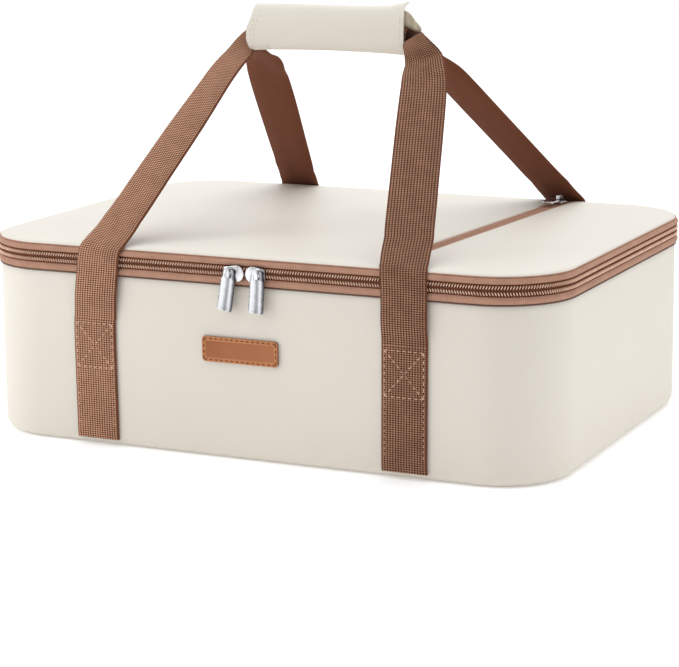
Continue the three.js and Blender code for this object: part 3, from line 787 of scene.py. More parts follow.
base_foam = plates("base_foam_pad", pad_levels(7, 4.5, 9.5))
wall_foam = band("wall_foam_sheet", WALL_FOAM)
lid_foam = plates("lid_foam_pad", pad_levels(5, 128.8, 133.1))
settle(base_foam, "body", "foam", FOAM, "base_foam")
settle(wall_foam, "body", "foam", FOAM, "wall_foam")
settle(lid_foam, "lid", "foam", FOAM, "lid_foam")
paint(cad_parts["base_board"], BOARD)

settle(plates("foil_tub", TUB, 4 * MM), "body", "foil", FOIL, "body_liner")
settle(band("rim_binding", RIM), "body", "cream_cloth", BINDING, "body_rim_binding")
rim_seam = stitches("rim_binding_stitches", [plan_run(6.4, 117.8, 1)], length=3.2, gap=1.3, radius=0.28)
settle(rim_seam, "body", "cream_cloth", CREAM_THREAD)

# %% [markdown]
# ## The lid
#
# The lid is a foam-backed cushion with a puffy rolled edge and a slow dome. It is made as one dome from
# rings and then cut in two along the pocket zip, and each cut edge is rounded off like cloth that is turned
# down.

# %% The lid
LID_EDGE = [(5, 134.35), (1.6, 134.5), (0.6, 135.0), (0.25, 135.8), (0.5, 136.6), (1.5, 137.3),
            (3.5, 137.75), (7, 138.0), (12, 138.1), (20, 138.15), (32, 138.25), (44, 138.35)]
DOME = [(0.8, 138.45), (0.55, 138.5), (0.3, 138.5), (0.02, 138.5)]
POCKET_X = 105 * MM
POCKET_SLANT = math.radians(3.7)
POCKET_SLOT = 12 * MM
ON_CUT, CUT_ABOVE, CUT_ROUND = 0.001 * MM, 136.5 * MM, 0.9 * MM
POCKET_ALONG = Vector((math.sin(POCKET_SLANT), math.cos(POCKET_SLANT), 0))
POCKET_ACROSS = Vector((math.cos(POCKET_SLANT), -math.sin(POCKET_SLANT), 0))


def lid_dome(name):
    rows = rings(LID_EDGE, 5 * MM)
    core = rows[-1]
    rows += [[Vector((p.x * share, p.y * share, z * MM)) for p in core] for share, z in DOME]
    return sweep(name, rows)


def cut_along_pocket(piece, side):
    """Keeps what lies on one side of the pocket zip's slot and rounds the cut edge."""
    normal = POCKET_ACROSS * side
    edge = Vector((POCKET_X, 0, 0)) + normal * (POCKET_SLOT / 2)
    with editing(piece):
        bpy.ops.mesh.select_all(action="SELECT")
        bpy.ops.mesh.bisect(plane_co=edge, plane_no=normal, use_fill=True, clear_inner=True)
    mesh = piece.data
    cut = [abs((v.co - edge).dot(normal)) < ON_CUT and v.co.z > CUT_ABOVE for v in mesh.vertices]
    for face in mesh.polygons:
        face.select = False
    for line in mesh.edges:
        line.select = cut[line.vertices[0]] and cut[line.vertices[1]]
    for i, vertex in enumerate(mesh.vertices):
        vertex.select = cut[i]
    with editing(piece):
        bpy.ops.mesh.select_mode(type="EDGE")
        bpy.ops.mesh.bevel(offset=CUT_ROUND, segments=3)
    smooth(piece, 40)


for name, side in (("main", -1), ("side", 1)):
    pad = lid_dome(f"lid_{name}_pad")
    cut_along_pocket(pad, side)
    settle(pad, "lid", "cream_cloth", CREAM, f"lid_{name}_panel")

lining = plates("pocket_lining_cloth", pad_levels(5, 133.4, 134.0, 0.25))
settle(lining, "lid", "cream_cloth", CREAM, "pocket_lining")
lid_foil = plates("lid_foil", [(5.1, 128.6), (5.0, 128.2), (6.5, 127.95), (12, 127.9), (40, 127.9)], 4 * MM)
settle(lid_foil, "lid", "foil", FOIL, "lid_liner")
lid_rim = band("lid_binding", [(3.4, 128.2), (4.0, 127.75), (4.6, 128.0), (4.65, 134), (3.3, 134)])
settle(lid_rim, "lid", "cream_cloth", BINDING, "lid_rim_binding")

# %% [markdown]
# ## The main zip
#
# Two tapes carry a row of coil each. A tape is a rounded strip that starts at its seam, and its back runs
# on behind the coil, dark with painted shade where it lies in shade. The turns are one small bead, copied
# at the coil's pitch and leant over, because a coil is a slanting spiral seen from the front. Where the two
# rows lock, their heads make a ridge, painted dark as the shade along the zip's middle. The pitch divides
# the sliders' travel, so a slider sits on its coil the same way at both of its limits.

# %% The main zip
ZIP_CENTRE = 127.5
ZIP_START = 130 * MM
ZIP_STOP = AROUND - ZIP_START
TOOTH_PITCH = 1.875 * MM
TOOTH = Vector((0.48, 0.85, 1.3)) * MM
TOOTH_OUT = 0.7 * MM
TOOTH_LEAN = 0.4
ROW_AWAY, COIL_EDGE_AWAY = 2.0, 3.5
TAPE_BULGE = 1.9
TAPE_IN, TAPE_LIP, TAPE_BACK = 0.3, 0.05, 0.5
COIL_GAP = 0.25
HEAD_OUT, HEAD_AWAY, HEAD_RADIUS = 0.6, 0.5, 0.42
TAPE_STEPS = np.linspace(0, 1, 10)
BACKING = range(8, 11)
# Name, height of the seam in mm, side of the zip's centre and body.
ZIP_HALVES = (("lower", 118.2, -1, "body"), ("upper", 135.8, 1, "lid"))


def bead_template():
    """Points and faces of a small bead of unit radius, modelled once."""
    bpy.ops.object.select_all(action="DESELECT")
    bpy.ops.mesh.primitive_uv_sphere_add(segments=8, ring_count=5, radius=1)
    bead = bpy.context.object
    points = np.array([v.co for v in bead.data.vertices])
    faces = [tuple(face.vertices) for face in bead.data.polygons]
    bpy.data.objects.remove(bead)
    return points, faces


BEAD_POINTS, BEAD_FACES = bead_template()


def teeth(name, places, size, lean):
    """Copies of the bead at (place, ahead, out, up) frames, leant over along the row."""
    points, faces = [], []
    for place, ahead, out, up in places:
        first = len(points)
        for a, o, u in BEAD_POINTS:
            along = a * size.x + lean * u * size.z
            points.append(place + ahead * along + out * o * size.y + up * u * size.z)
        faces += [tuple(first + index for index in face) for face in BEAD_FACES]
    piece = mesh_piece(name, points, faces)
    smooth(piece)
    return piece


def main_teeth(name, z, lean):
    places = []
    for s in np.arange(ZIP_START + TOOTH_PITCH, ZIP_STOP - TOOTH_PITCH, TOOTH_PITCH):
        _, flat = plan(s)
        out = Vector((*flat, 0))
        places.append((at(s, -TOOTH_OUT, z * MM), Vector((-out.y, out.x, 0)), out, Vector((0, 0, 1))))
    return teeth(name, places, TOOTH, lean)


for name, seam, side, body in ZIP_HALVES:
    inner = ZIP_CENTRE + side * COIL_GAP
    across = ZIP_CENTRE + side * COIL_EDGE_AWAY - seam
    profile = [(TAPE_IN - TAPE_BULGE * math.sin(math.pi * t), seam + across * t) for t in TAPE_STEPS]
    profile += [(TAPE_LIP, inner), (TAPE_BACK, inner), (TAPE_BACK, seam)]
    tape = band(f"zip_tape_{name}_weave", profile, ZIP_START, ZIP_STOP, 4 * MM)
    settle(tape, body, "zip_tape", TAPE, f"zip_tape_{name}")
    tape.data.materials.append(INNER_FACE_AND_SHADE)
    # The tape's back behind the coil takes painted shade.
    for face in tape.data.polygons:
        face.material_index = int(face.index % len(profile) in BACKING)
    row = main_teeth(f"zip_coil_{name}_turns", ZIP_CENTRE + side * ROW_AWAY, side * TOOTH_LEAN)
    settle(row, body, "zip_coil", COIL, f"zip_coil_{name}")
    locked = ZIP_CENTRE + side * HEAD_AWAY
    heads = cord_round(f"zip_heads_{name}", -HEAD_OUT, locked, HEAD_RADIUS, ZIP_START, ZIP_STOP)
    # The locked heads are painted dark, as shade along the zip's middle.
    settle(heads, body, "zip_coil", INNER_FACE_AND_SHADE)

# A dark cord along the wall's seam: painted shade under the lower tape's edge.
settle(cord_round("wall_seam_shade", -0.25, 118.05, 0.45, 0, AROUND), "body", "zip_tape", SEAM_SHADE)
settle(cord_round("lid_seam_cord", 0.05, 136.05, 0.35, 0, AROUND), "lid", "zip_tape", TAPE)

# %% [markdown]
# ## The hinge cloth and the zip's ends
#
# Behind the box the zip stops, and a plain strip of tape joins the lid to the wall. It is the lid's hinge.
# A tab on the wall and a cover on the lid close each end of the zip.

# %% The hinge cloth and the zip's ends
HINGE_END = 119.4 * MM
FOLD_SPLIT, FOLD_GAP, COVER_TOP = 126.6 * MM, 0.2 * MM, 135.7 * MM
TAB_ROUND, TAB_STEPS = 0.7 * MM, 3
HINGE_SECTION = [(-0.3, 118.4), (-0.9, 120), (-1.05, 123), (-1.05, 127), (-1.05, 131), (-0.9, 134),
                 (-0.3, 135.6), (0.4, 135.6), (0.3, 131), (0.3, 127), (0.3, 123), (0.4, 118.4)]


def plain_box(name, low, high):
    """A box between two corners."""
    bpy.ops.object.select_all(action="DESELECT")
    bpy.ops.mesh.primitive_cube_add(size=1)
    piece = bpy.context.object
    piece.name = name
    piece.data.name = name
    low, high = Vector(low), Vector(high)
    piece.data.transform(Matrix.Translation((low + high) / 2) @ Matrix.Diagonal((*(high - low), 1)))
    return piece


def block(name, low, high, rounding, steps=2):
    """A box with its edges rounded."""
    piece = plain_box(name, low, high)
    modify(piece, "BEVEL", width=rounding, segments=steps)
    smooth(piece, 50)
    return piece


hinge = band("hinge_cloth_tape", HINGE_SECTION, -HINGE_END, HINGE_END, 6 * MM)
paint(hinge, TAPE)
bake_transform(hinge)
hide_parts("lid_hinge_cloth")

for side in ("left", "right"):
    low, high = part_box(f"zip_end_tab_{side}")
    tab_top = (high.x, high.y, FOLD_SPLIT - FOLD_GAP)
    tab = block(f"zip_end_fold_{side}", low, tab_top, TAB_ROUND, TAB_STEPS)
    settle(tab, "body", "zip_tape", TAPE, f"zip_end_tab_{side}")
    cover_low, cover_high = (low.x, low.y, FOLD_SPLIT + FOLD_GAP), (high.x, high.y, COVER_TOP)
    cover = block(f"zip_end_cover_{side}", cover_low, cover_high, TAB_ROUND, TAB_STEPS)
    settle(cover, "lid", "zip_tape", TAPE)

# %% [markdown]
# ## The pocket zip
#
# A small reverse zip lies in the slot of the lid. Its coil is underneath, so from above it is two plain
# tapes whose folded edges meet on a thin line, with painted shade in their grooves. A patch of cream cloth,
# flush with the lid, covers its front end.

# %% The pocket zip
POCKET_HALF = 146 * MM
POCKET_FRONT = -134 * MM
POCKET_PROFILE = [(5.9, 136.6), (5.85, 137.6), (5.2, 138.0), (3.1, 137.95), (2.6, 137.3), (2.2, 137.3),
                  (1.9, 138.1), (1.3, 138.3), (0.7, 138.1), (0.5, 137.4), (0.2, 137.2), (0.5, 136.9),
                  (2.0, 136.7)]
PATCH_EDGE = [(-7.4, 0.02), (-6.6, 0.12), (6.6, 0.12), (7.4, 0.02)]
PATCH_SECTION = LID_EDGE[:9] + [(19, 138.1), (19, 134.35)]
POCKET_PITCH = 1.6 * MM
POCKET_SHADED_GROOVES = {4, 9, 10}
POCKET_TOOTH = Vector((0.5, 0.55, 0.45)) * MM
POCKET_COIL = (0.75 * MM, 136.55 * MM)
COIL_ENDS = 2 * MM


def pocket_at(along, across, z):
    return Vector((POCKET_X, 0, z)) + POCKET_ALONG * along + POCKET_ACROSS * across


def patch_at(across, inset, z):
    """A point of the patch, at a distance from the box's front whatever the zip's slant."""
    y = inset - DEPTH / 2
    return pocket_at((y + across * math.sin(POCKET_SLANT)) / math.cos(POCKET_SLANT), across, z)


stations = np.linspace(POCKET_FRONT, POCKET_HALF, 60)
for side, name in ((-1, "left"), (1, "right")):
    rows = [[pocket_at(s, side * across * MM, z * MM) for across, z in POCKET_PROFILE] for s in stations]
    tape = sweep(f"pocket_tape_{name}", rows)
    settle(tape, "lid", "zip_tape", None, f"pocket_zip_tape_{name}")
    paint(tape, TAPE, ZIP_SHADE)
    # The tape in the grooves takes painted shade.
    for face in tape.data.polygons:
        face.material_index = int(face.index % len(POCKET_PROFILE) in POCKET_SHADED_GROOVES)
    away, z = POCKET_COIL
    places = [(pocket_at(s, side * away, z), POCKET_ALONG, POCKET_ACROSS, Vector((0, 0, 1)))
              for s in np.arange(POCKET_FRONT + COIL_ENDS, POCKET_HALF - COIL_ENDS, POCKET_PITCH)]
    row = teeth(f"pocket_teeth_{name}", places, POCKET_TOOTH, 0.3 * side)
    settle(row, "lid", "zip_coil", COIL, f"pocket_zip_coil_{name}")
stop = block("pocket_end_stop", *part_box("pocket_stop_back"), 0.4 * MM)
settle(stop, "lid", "zip_tape", TAPE, "pocket_stop_back")

patch_rows = [[patch_at(across * MM, (inset - lift) * MM, (z + lift) * MM) for inset, z in PATCH_SECTION]
              for across, lift in PATCH_EDGE]
patch = sweep("pocket_front_patch", patch_rows)
smooth(patch, 40)
settle(patch, "lid", "cream_cloth", CREAM, "pocket_stop_front")

# %% [markdown]
# ## The webbing loops
#
# Each handle is one length of webbing: sewn to the wall from the foot, free from below the zip, up over the
# lid, twisted a little and gathered into the wrap, and down again on the other side. A station is a place
# on the centre line with the width and the twist there, and how far the strip is kept level where it bends
# over the zip.

# %% The webbing loops
WEBBING_WIDTH = 32
WEBBING_HALF = 0.9
SEWN_OUT, CLEAR_OUT = 153.2, 155.1
# On the wall: share of the way across, distance out and height. Up to the zip the distance is a share too.
SEWN_STATIONS = [(0, 152.6, 5), (0, 153.1, 9), (0, SEWN_OUT, 16), (0.6, SEWN_OUT, 54), (1, SEWN_OUT, 85.5)]
CLIMB = [(0, 0, 88), (0.2, 0.2, 93), (0.5, 1, 104), (0.9, 1, 121), (1, 1, 131)]
# Over the zip: share of the way across, distance out, height, share of the first turn and share kept level.
BEND_OVER = [(0.47, 154.4, 135.7, 0.1, 0.85), (0.84, 152.6, 138.5, 0.35, 0.5), (1, 149.4, 141, 0.7, 0.2)]
# On the free line: share of the way up and share of the full width.
STRAIGHT = [(0, 1), (0.35, 1), (0.7, 1), (1, 0.97)]
# Into the wrap: share of the way still to go, height and share of the loop's shift.
ENTRY = [(0.6, 250, 1), (0.22, 257, 1), (0.02, 262.5, 1), (0, 267, 0.7), (0, 269, 0.4), (0, 270.5, 0),
         (0, 272, 0)]
INSIDE_WRAP = ((15, 13.5), (20, 13.5), (27, 17), (36, 21))
LOOPS = {
    "front": {"face": -1, "shift": 4, "wrap_y": -19.5,
              "low": (104.5, 133.5, 154), "high": (77.5, 45.5, 240)},
    "back": {"face": 1, "shift": 1.5, "wrap_y": -16.5,
             "low": (104, 133, 154), "high": (71.5, 23, 240)},
}
# At is x at the foot, at the last stitch and at the zip. Turns is the twist on the free part in degrees.
# Entry is the way in and the width where the leg comes up to the wrap.
LEGS = {
    "front left": {"at": (-113, -113.5, -108.5), "turns": (18, 20, 23, 29, 26, 18),
                   "entry": ((4, 26), (7, 22.5), (9, 15.5), *INSIDE_WRAP)},
    "front right": {"at": (113.5, 114, 114.5), "turns": (26, 27, 27, 27, 22, 14),
                    "entry": ((4.5, 30), (9, 27.5))},
    "back left": {"at": (-109.5, -109.5, -109), "turns": (11, 14, 17, 17, 13, 7),
                  "entry": ((6, 30.5), (8.5, 25), (11.5, 18.5), *INSIDE_WRAP)},
    "back right": {"at": (112.5, 112.5, 112), "turns": (20, 21, 21, 20, 12, 7),
                   "entry": ((4, 25), (6.5, 20), (9.5, 17), *INSIDE_WRAP)},
}
# The front right leg folds back over itself before the wrap: place, width and the way its width lies.
# Where it turns into the wrap's mouth it takes painted shade.
FOLD = [((69.5, -27, 264.5), 22, (0.93, 0, 0.36)), ((66, -26, 269), 16.5, (0.88, 0, 0.47)),
        ((65, -24.5, 270.5), 15.5, (0.88, 0, 0.47)), ((64, -22, 270), 14.5, (0.85, 0, 0.5)),
        ((61, -19.5, 269), 14, (0.5, 0.1, 0.85)), ((57, -18.5, 269.5), 14, (0.05, 0, 1)),
        ((50, -19, 270.5), 16, (0, 0, 1)), ((40, -19.5, 272), 21, (0, 0, 1))]
FOLD_TOP_Y, FOLD_INSIDE_X, FOLD_SHADE = -24.2, 54, 2


def leg_stations(wall, side):
    """One leg from its foot to the wrap's middle: x, y, z and width in mm, twist in degrees, share kept
    level, and share of the set way its width lies with that way."""
    loop, leg = LOOPS[wall], LEGS[f"{wall} {side}"]
    sign = -1 if side == "left" else 1
    foot_x, sewn_x, zip_x = leg["at"]
    low, high, shift = Vector(loop["low"]), Vector(loop["high"]), loop["shift"]
    rows = [(foot_x + (sewn_x - foot_x) * t, out, z, WEBBING_WIDTH, 0, 1) for t, out, z in SEWN_STATIONS]
    for t, out, z in CLIMB:
        away = SEWN_OUT + (CLEAR_OUT - SEWN_OUT) * out
        rows.append((sewn_x + (zip_x - sewn_x) * t, away, z, WEBBING_WIDTH, 0, 1))
    for t, out, z, turn, level in BEND_OVER:
        free_x = shift + sign * (low.x + (low.x - high.x) * (low.z - z) / (high.z - low.z))
        rows.append((zip_x + (free_x - zip_x) * t, out, z, WEBBING_WIDTH, turn * leg["turns"][0], level))
    for (t, wide), turn in zip(STRAIGHT, leg["turns"]):
        here = low.lerp(high, t)
        rows.append((shift + sign * here.x, here.y, here.z, WEBBING_WIDTH * wide, turn, 0))
    inside = loop["face"] * loop["wrap_y"]
    turns = leg["turns"][len(STRAIGHT):] + (0,) * len(ENTRY)
    for (away, z, shifted), (nearer, width), turn in zip(ENTRY, leg["entry"], turns):
        x = shift * shifted + sign * (high.x - nearer)
        rows.append((x, inside + (high.y - inside) * away, z, width, turn, 0))
    stations = [(x, loop["face"] * out, z, width, turn * loop["face"], level, 0, -sign, 0, 0)
                for x, out, z, width, turn, level in rows]
    if len(leg["entry"]) < len(ENTRY):
        stations += [(*place, width, 0, 0, 1, *(-a for a in lies)) for place, width, lies in FOLD]
    return stations


print("stations of each leg:", {leg: len(leg_stations(*leg.split())) for leg in LEGS})

# %% [markdown]
# ## The webbing strip
#
# A strip has two faces, so each place on its line needs the way that its width lies. That follows from the
# line's own direction, the twist and the share kept level, and is then evened out with its neighbours,
# because webbing is stiff across and turns slowly. The ribbed finish is on the face that shows. The inner
# face and the edges take the darker one.

# %% The webbing strip
EDGE_FLAT, EDGE_IN, EDGE_THIN = 0.7, 0.2, 0.6


def ribbon_section(width):
    """Across and out, going round from the outer face: two flat faces and two round edges."""
    reach, half = width / 2, WEBBING_HALF
    flat = [(-reach + EDGE_FLAT, half), (-reach / 3, half), (reach / 3, half), (reach - EDGE_FLAT, half)]
    edge = [(reach - EDGE_IN, half * EDGE_THIN), (reach, 0), (reach - EDGE_IN, -half * EDGE_THIN)]
    inner = [(a, -half) for a, _ in reversed(flat)]
    return flat + edge + inner + [(-a, o) for a, o in reversed(edge)]


OUTER_FACES, INNER_FACES = range(0, 3), range(7, 10)
EDGE_FACES = {3, 4, 5, 6, 10, 11, 12, 13}
SPAN_PASSES = 6
BEND_LOW, BEND_HIGH, BEND_PASSES = 66, 178, 28


def ease(values, chosen, passes):
    """Evens out the chosen inner rows of a table with their neighbours."""
    for _ in range(passes):
        eased = (values[:-2] + 2 * values[1:-1] + values[2:]) / 4
        values[1:-1][chosen] = eased[chosen]


def bending(line):
    """Which inner rows lie where a leg turns sideways, from the wall to its free line."""
    return (line[1:-1, 2] > BEND_LOW) & (line[1:-1, 2] < BEND_HIGH)


def clamp(value):
    return min(1, max(0, value))


def ribbon(name, line, inner):
    """Webbing along a line of stations; the inner faces and the edges take the second material, and a folded
    strip takes the third, a painted shade, where it turns into the wrap's mouth.
    """
    places = [Vector(row[:3]) for row in line]
    ways, spans, rows = [], [], []
    for i, (*_, width, twist, level, held, lie_x, lie_y, lie_z) in enumerate(line):
        along = (places[min(i + 1, len(line) - 1)] - places[max(i - 1, 0)]).normalized()
        across = Vector((along.z, 0, -along.x * (1 - clamp(level)))).normalized()
        across = Matrix.Rotation(math.radians(twist), 3, along) @ across
        across = across.lerp(Vector((lie_x, lie_y, lie_z)), clamp(held)).normalized()
        ways.append(along)
        spans.append(across * width)
    spans = np.array(spans)
    ease(spans, slice(None), SPAN_PASSES)
    ease(spans, bending(line), BEND_PASSES)
    for place, along, span in zip(places, ways, spans):
        across = Vector(span).normalized()
        out = across.cross(along).normalized()
        section = ribbon_section(Vector(span).length)
        rows.append([(place + across * a + out * o) * MM for a, o in section])
    piece = sweep(name, rows)
    paint(piece, WEBBING, INNER_FACE_AND_SHADE, ZIP_SHADE)
    count = len(rows[0])
    for face in piece.data.polygons[:(len(rows) - 1) * count]:
        face.material_index = int(face.index % count in inner or face.index % count in EDGE_FACES)
        place, held = places[face.index // count], line[face.index // count][6]
        # Painted shade where the folded strip turns into the wrap's mouth.
        if held > 0.5 and place.y > FOLD_TOP_Y and place.x > FOLD_INSIDE_X:
            face.material_index = FOLD_SHADE
    smooth(piece, 50)
    return piece


for name, loop in LOOPS.items():
    stations = leg_stations(name, "left") + leg_stations(name, "right")[::-1]
    line = smooth_line(stations, 3)
    ease(line[:, :1], bending(line), BEND_PASSES)
    strap = ribbon(f"{name}_webbing", line, INNER_FACES if loop["face"] < 0 else OUTER_FACES)
    y = loop["face"] * SEWN_OUT * MM
    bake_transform(strap)
    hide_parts(f"{name}_strap_left", f"{name}_strap_right", f"{name}_handle_webbing")
    print(strap.name, round(running_length(line[:, :3])[-1]), "mm long,", len(strap.data.polygons), "faces")

# %% [markdown]
# ## The sewing of the straps
#
# A box with a cross in it takes the load at the top of each sewn part, and a line of finer stitches runs
# down along each edge below it.

# %% The sewing of the straps
BOX_LOW, BOX_HIGH, BOX_HALF = 54.5, 84.8, 13.6
BOX_CORNERS = [(-BOX_HALF, BOX_LOW), (BOX_HALF, BOX_LOW), (BOX_HALF, BOX_HIGH), (-BOX_HALF, BOX_HIGH)]
BOX_LINES = [(0, 1), (1, 2), (2, 3), (3, 0), (0, 2), (1, 3)]
EDGE_START, EDGE_STOP = 15, BOX_LOW - 2


def on_strap(leg, across, z):
    """A place on the face of a sewn leg, with the way it faces."""
    foot_x, sewn_x, _ = LEGS[leg]["at"]
    face = LOOPS[leg.split()[0]]["face"]
    x = foot_x + (sewn_x - foot_x) * min(1, z / BOX_HIGH) + across
    return Vector((x, face * (SEWN_OUT + WEBBING_HALF), z)) * MM, Vector((0, face, 0))


boxes, edges = [], []
for leg in LEGS:
    corners = [on_strap(leg, *corner) for corner in BOX_CORNERS]
    boxes += [[corners[i], corners[j]] for i, j in BOX_LINES]
    edges += [[on_strap(leg, a, EDGE_START), on_strap(leg, a, EDGE_STOP)] for a in (-BOX_HALF, BOX_HALF)]
box_seam = stitches("strap_box_stitches", boxes, length=2.6, gap=1.4, radius=0.36)
settle(box_seam, "body", "webbing", PINK_THREAD)
edge_seam = stitches("strap_edge_stitches", edges, length=2.4, gap=1.5, radius=0.22)
settle(edge_seam, "body", "webbing", PINK_THREAD)

# %% [markdown]
# ## The wrap
#
# The wrap is a padded cream sleeve round both handles, open at the back and closed there by a flap with
# hook and loop. Its section is a round-cornered C. Along its length it is a little waisted, the left end
# bulges in the middle and the right end flares where its layers part.

# %% The wrap
WRAP_ROWS = 44
WRAP_AROUND = 30
WRAP_LIP_END, WRAP_LIP_GONE = 41, 46
WRAP_THICK = 2.3
WRAP_HALF = 58
WRAP_STOPS = [-1, -0.8, -0.4, 0, 0.5, 0.8, 1]
WRAP_TOPS = [290.6, 290.8, 290.8, 290.6, 290.4, 291.4, 294]
WRAP_BOTTOMS = [258.2, 258.8, 259.4, 259.6, 259.2, 258.6, 258]
LEFT_LEVELS, LEFT_ENDS = [258, 266, 274, 278, 282, 286, 290], [59.5, 61.5, 61, 59, 57, 55.5, 56]
RIGHT_END = 57.8


def wrap_levels(u):
    """Top and bottom of the wrap, in mm, from its left end at -1 to its right end at 1."""
    return np.interp(u, WRAP_STOPS, WRAP_TOPS), np.interp(u, WRAP_STOPS, WRAP_BOTTOMS)


def wrap_reach(u, z):
    """How far along x a point of the section lies, because the left end isn't cut square."""
    return u * (np.interp(z, LEFT_LEVELS, LEFT_ENDS) if u < 0 else RIGHT_END)


def wrap_contour(top, bottom):
    middle = (top + bottom) / 2
    return [(-14.9, top - 0.3), (-18, top), (-21.5, top - 1.2), (-24.2, top - 4.5), (-25.4, top - 10),
            (-25.7, middle), (-25.2, bottom + 8), (-23.9, bottom + 3), (-21.5, bottom + 0.6), (-18, bottom),
            (-14.8, bottom + 0.6), (-13.4, bottom + 3), (-13.2, bottom + 8)]


def section_with_thickness(outer, thick):
    """Closes an open outline with a second one a cloth's thickness further in."""
    line = np.array(outer)
    ahead = np.gradient(line, axis=0)
    ahead /= np.linalg.norm(ahead, axis=1)[:, None]
    inner = line + np.stack([-ahead[:, 1], ahead[:, 0]], 1) * np.array(thick).reshape(-1, 1)
    return np.vstack([line, inner[::-1]])


wrap_rows = []
for u in np.linspace(-1, 1, WRAP_ROWS):
    outline = np.array(wrap_contour(*wrap_levels(u)))
    outline = smooth_line(outline, 1.2)
    lengths = running_length(outline)
    share = np.interp(abs(u) * WRAP_HALF, [WRAP_LIP_END, WRAP_LIP_GONE], [1, 0.8])
    steps = np.linspace(0, lengths[-1] * share, WRAP_AROUND)
    outer = np.stack([np.interp(steps, lengths, axis) for axis in outline.T], 1)
    thick = WRAP_THICK * np.interp(abs(u), [0.86, 1], [1, 0.75])
    ends = np.interp(np.arange(WRAP_AROUND), [0, 2, WRAP_AROUND - 3, WRAP_AROUND - 1], [0.6, 1, 1, 0.6])
    section = section_with_thickness(outer, thick * ends)
    wrap_rows.append([Vector((wrap_reach(u, z), y, z)) * MM for y, z in section])
wrap = sweep("wrap_sleeve", wrap_rows)
smooth(wrap, 60)
settle(wrap, "front_loop", "cream_cloth", CREAM, "handle_wrap")

FLAP_OUTLINE = [(-14.5, 290.2), (-12.8, 289.9), (-10.9, 288.6), (-9.5, 286), (-9.0, 282), (-8.9, 274),
                (-8.9, 266), (-9.0, 262), (-9.3, 260.2)]
FLAP_HALF, FLAP_ROWS, FLAP_CLOTH = 41.5, 30, 1.6
FLAP_TOP, FLAP_DROP = 291, 31
flap_rows = []
for x in np.linspace(-FLAP_HALF, FLAP_HALF, FLAP_ROWS):
    rise = np.interp(abs(x), [36, 39, FLAP_HALF], [0, 0.5, 2.4])
    outline = [(y, z + rise * (FLAP_TOP - z) / FLAP_DROP) for y, z in FLAP_OUTLINE]
    section = section_with_thickness(outline, -FLAP_CLOTH)
    flap_rows.append([Vector((x, y, z)) * MM for y, z in section])
flap = sweep("wrap_flap_cloth", flap_rows)
smooth(flap, 60)
settle(flap, "flap", "cream_cloth", CREAM, "wrap_flap")

for name, body in (("wrap_loop_patch", "front_loop"), ("wrap_hook_patch", "flap")):
    patch = block(f"{name}_pile", *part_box(name), 0.25 * MM)
    settle(patch, body, "hook_and_loop", PILE, name)

# %% [markdown]
# ## The wrap's inner end
#
# At the right end the wrap's inner layer sticks out past the outer one, pale and a little rippled. It is a
# thin strip that narrows to its tip, swept through stations of its top, its bottom and its depth.

# %% The wrap's inner end
INNER_END = [(47, 289, 279, -15.0), (52, 288.6, 277, -14.6), (56, 287.6, 274, -15.0),
             (59, 285.5, 272, -14.3), (62, 282, 271.5, -14.9), (64.5, 279, 272.5, -14.2),
             (66.5, 276.6, 274.5, -14.6)]
END_CLOTH, RIPPLE, RIPPLE_TURN, RIPPLE_STEPS = 1.1, 0.5, 2.1, 5
end_rows = []
for x, top, bottom, y in smooth_line(INNER_END, 1.5):
    front = [(y - RIPPLE + RIPPLE * math.sin(k * RIPPLE_TURN), bottom + (top - bottom) * k / RIPPLE_STEPS)
             for k in range(RIPPLE_STEPS + 1)]
    section = front + [(across + END_CLOTH, z) for across, z in reversed(front)]
    end_rows.append([Vector((x, across, z)) * MM for across, z in section])
settle(sweep("wrap_inner_end", end_rows), "front_loop", "cream_cloth", LINING)

# %% [markdown]
# ## Stitches of the wrap
#
# Two rows of thread hold the left end of the wrap and one row the right end. The outline that shaped the
# sleeve also gives the places of its stitches, so they lie on its face.

# %% Stitches of the wrap
SEAM_AT = (-0.955, -0.91, 0.955)
SEAM_OUT = 0.05
WRAP_MIDDLE_Y, WRAP_MIDDLE_Z = -16, 274.5
wrap_runs = []
for u in SEAM_AT:
    run = []
    for y, z in wrap_contour(*wrap_levels(u))[2:9]:
        out = Vector((0, y - WRAP_MIDDLE_Y, (z - WRAP_MIDDLE_Z) * 0.5)).normalized()
        run.append((Vector((wrap_reach(u, z), y - SEAM_OUT, z)) * MM, out))
    wrap_runs.append(run)
wrap_seam = stitches("wrap_stitches", wrap_runs, length=2.4, gap=0.9, radius=0.36)
settle(wrap_seam, "front_loop", "cream_cloth", CREAM_THREAD)

# %% [markdown]
# ## The leather label
#
# A small plate of leather with rounded corners. Its field is pressed in a little inside the border, and the
# border carries the sewing.

# %% The leather label
LABEL_CORNER = 2.5 * MM
LABEL_BORDER = 2.4 * MM
LABEL_SEAM = 1.45 * MM
FIELD_EDGE, FIELD_DEPTH = 0.45 * MM, 0.4 * MM


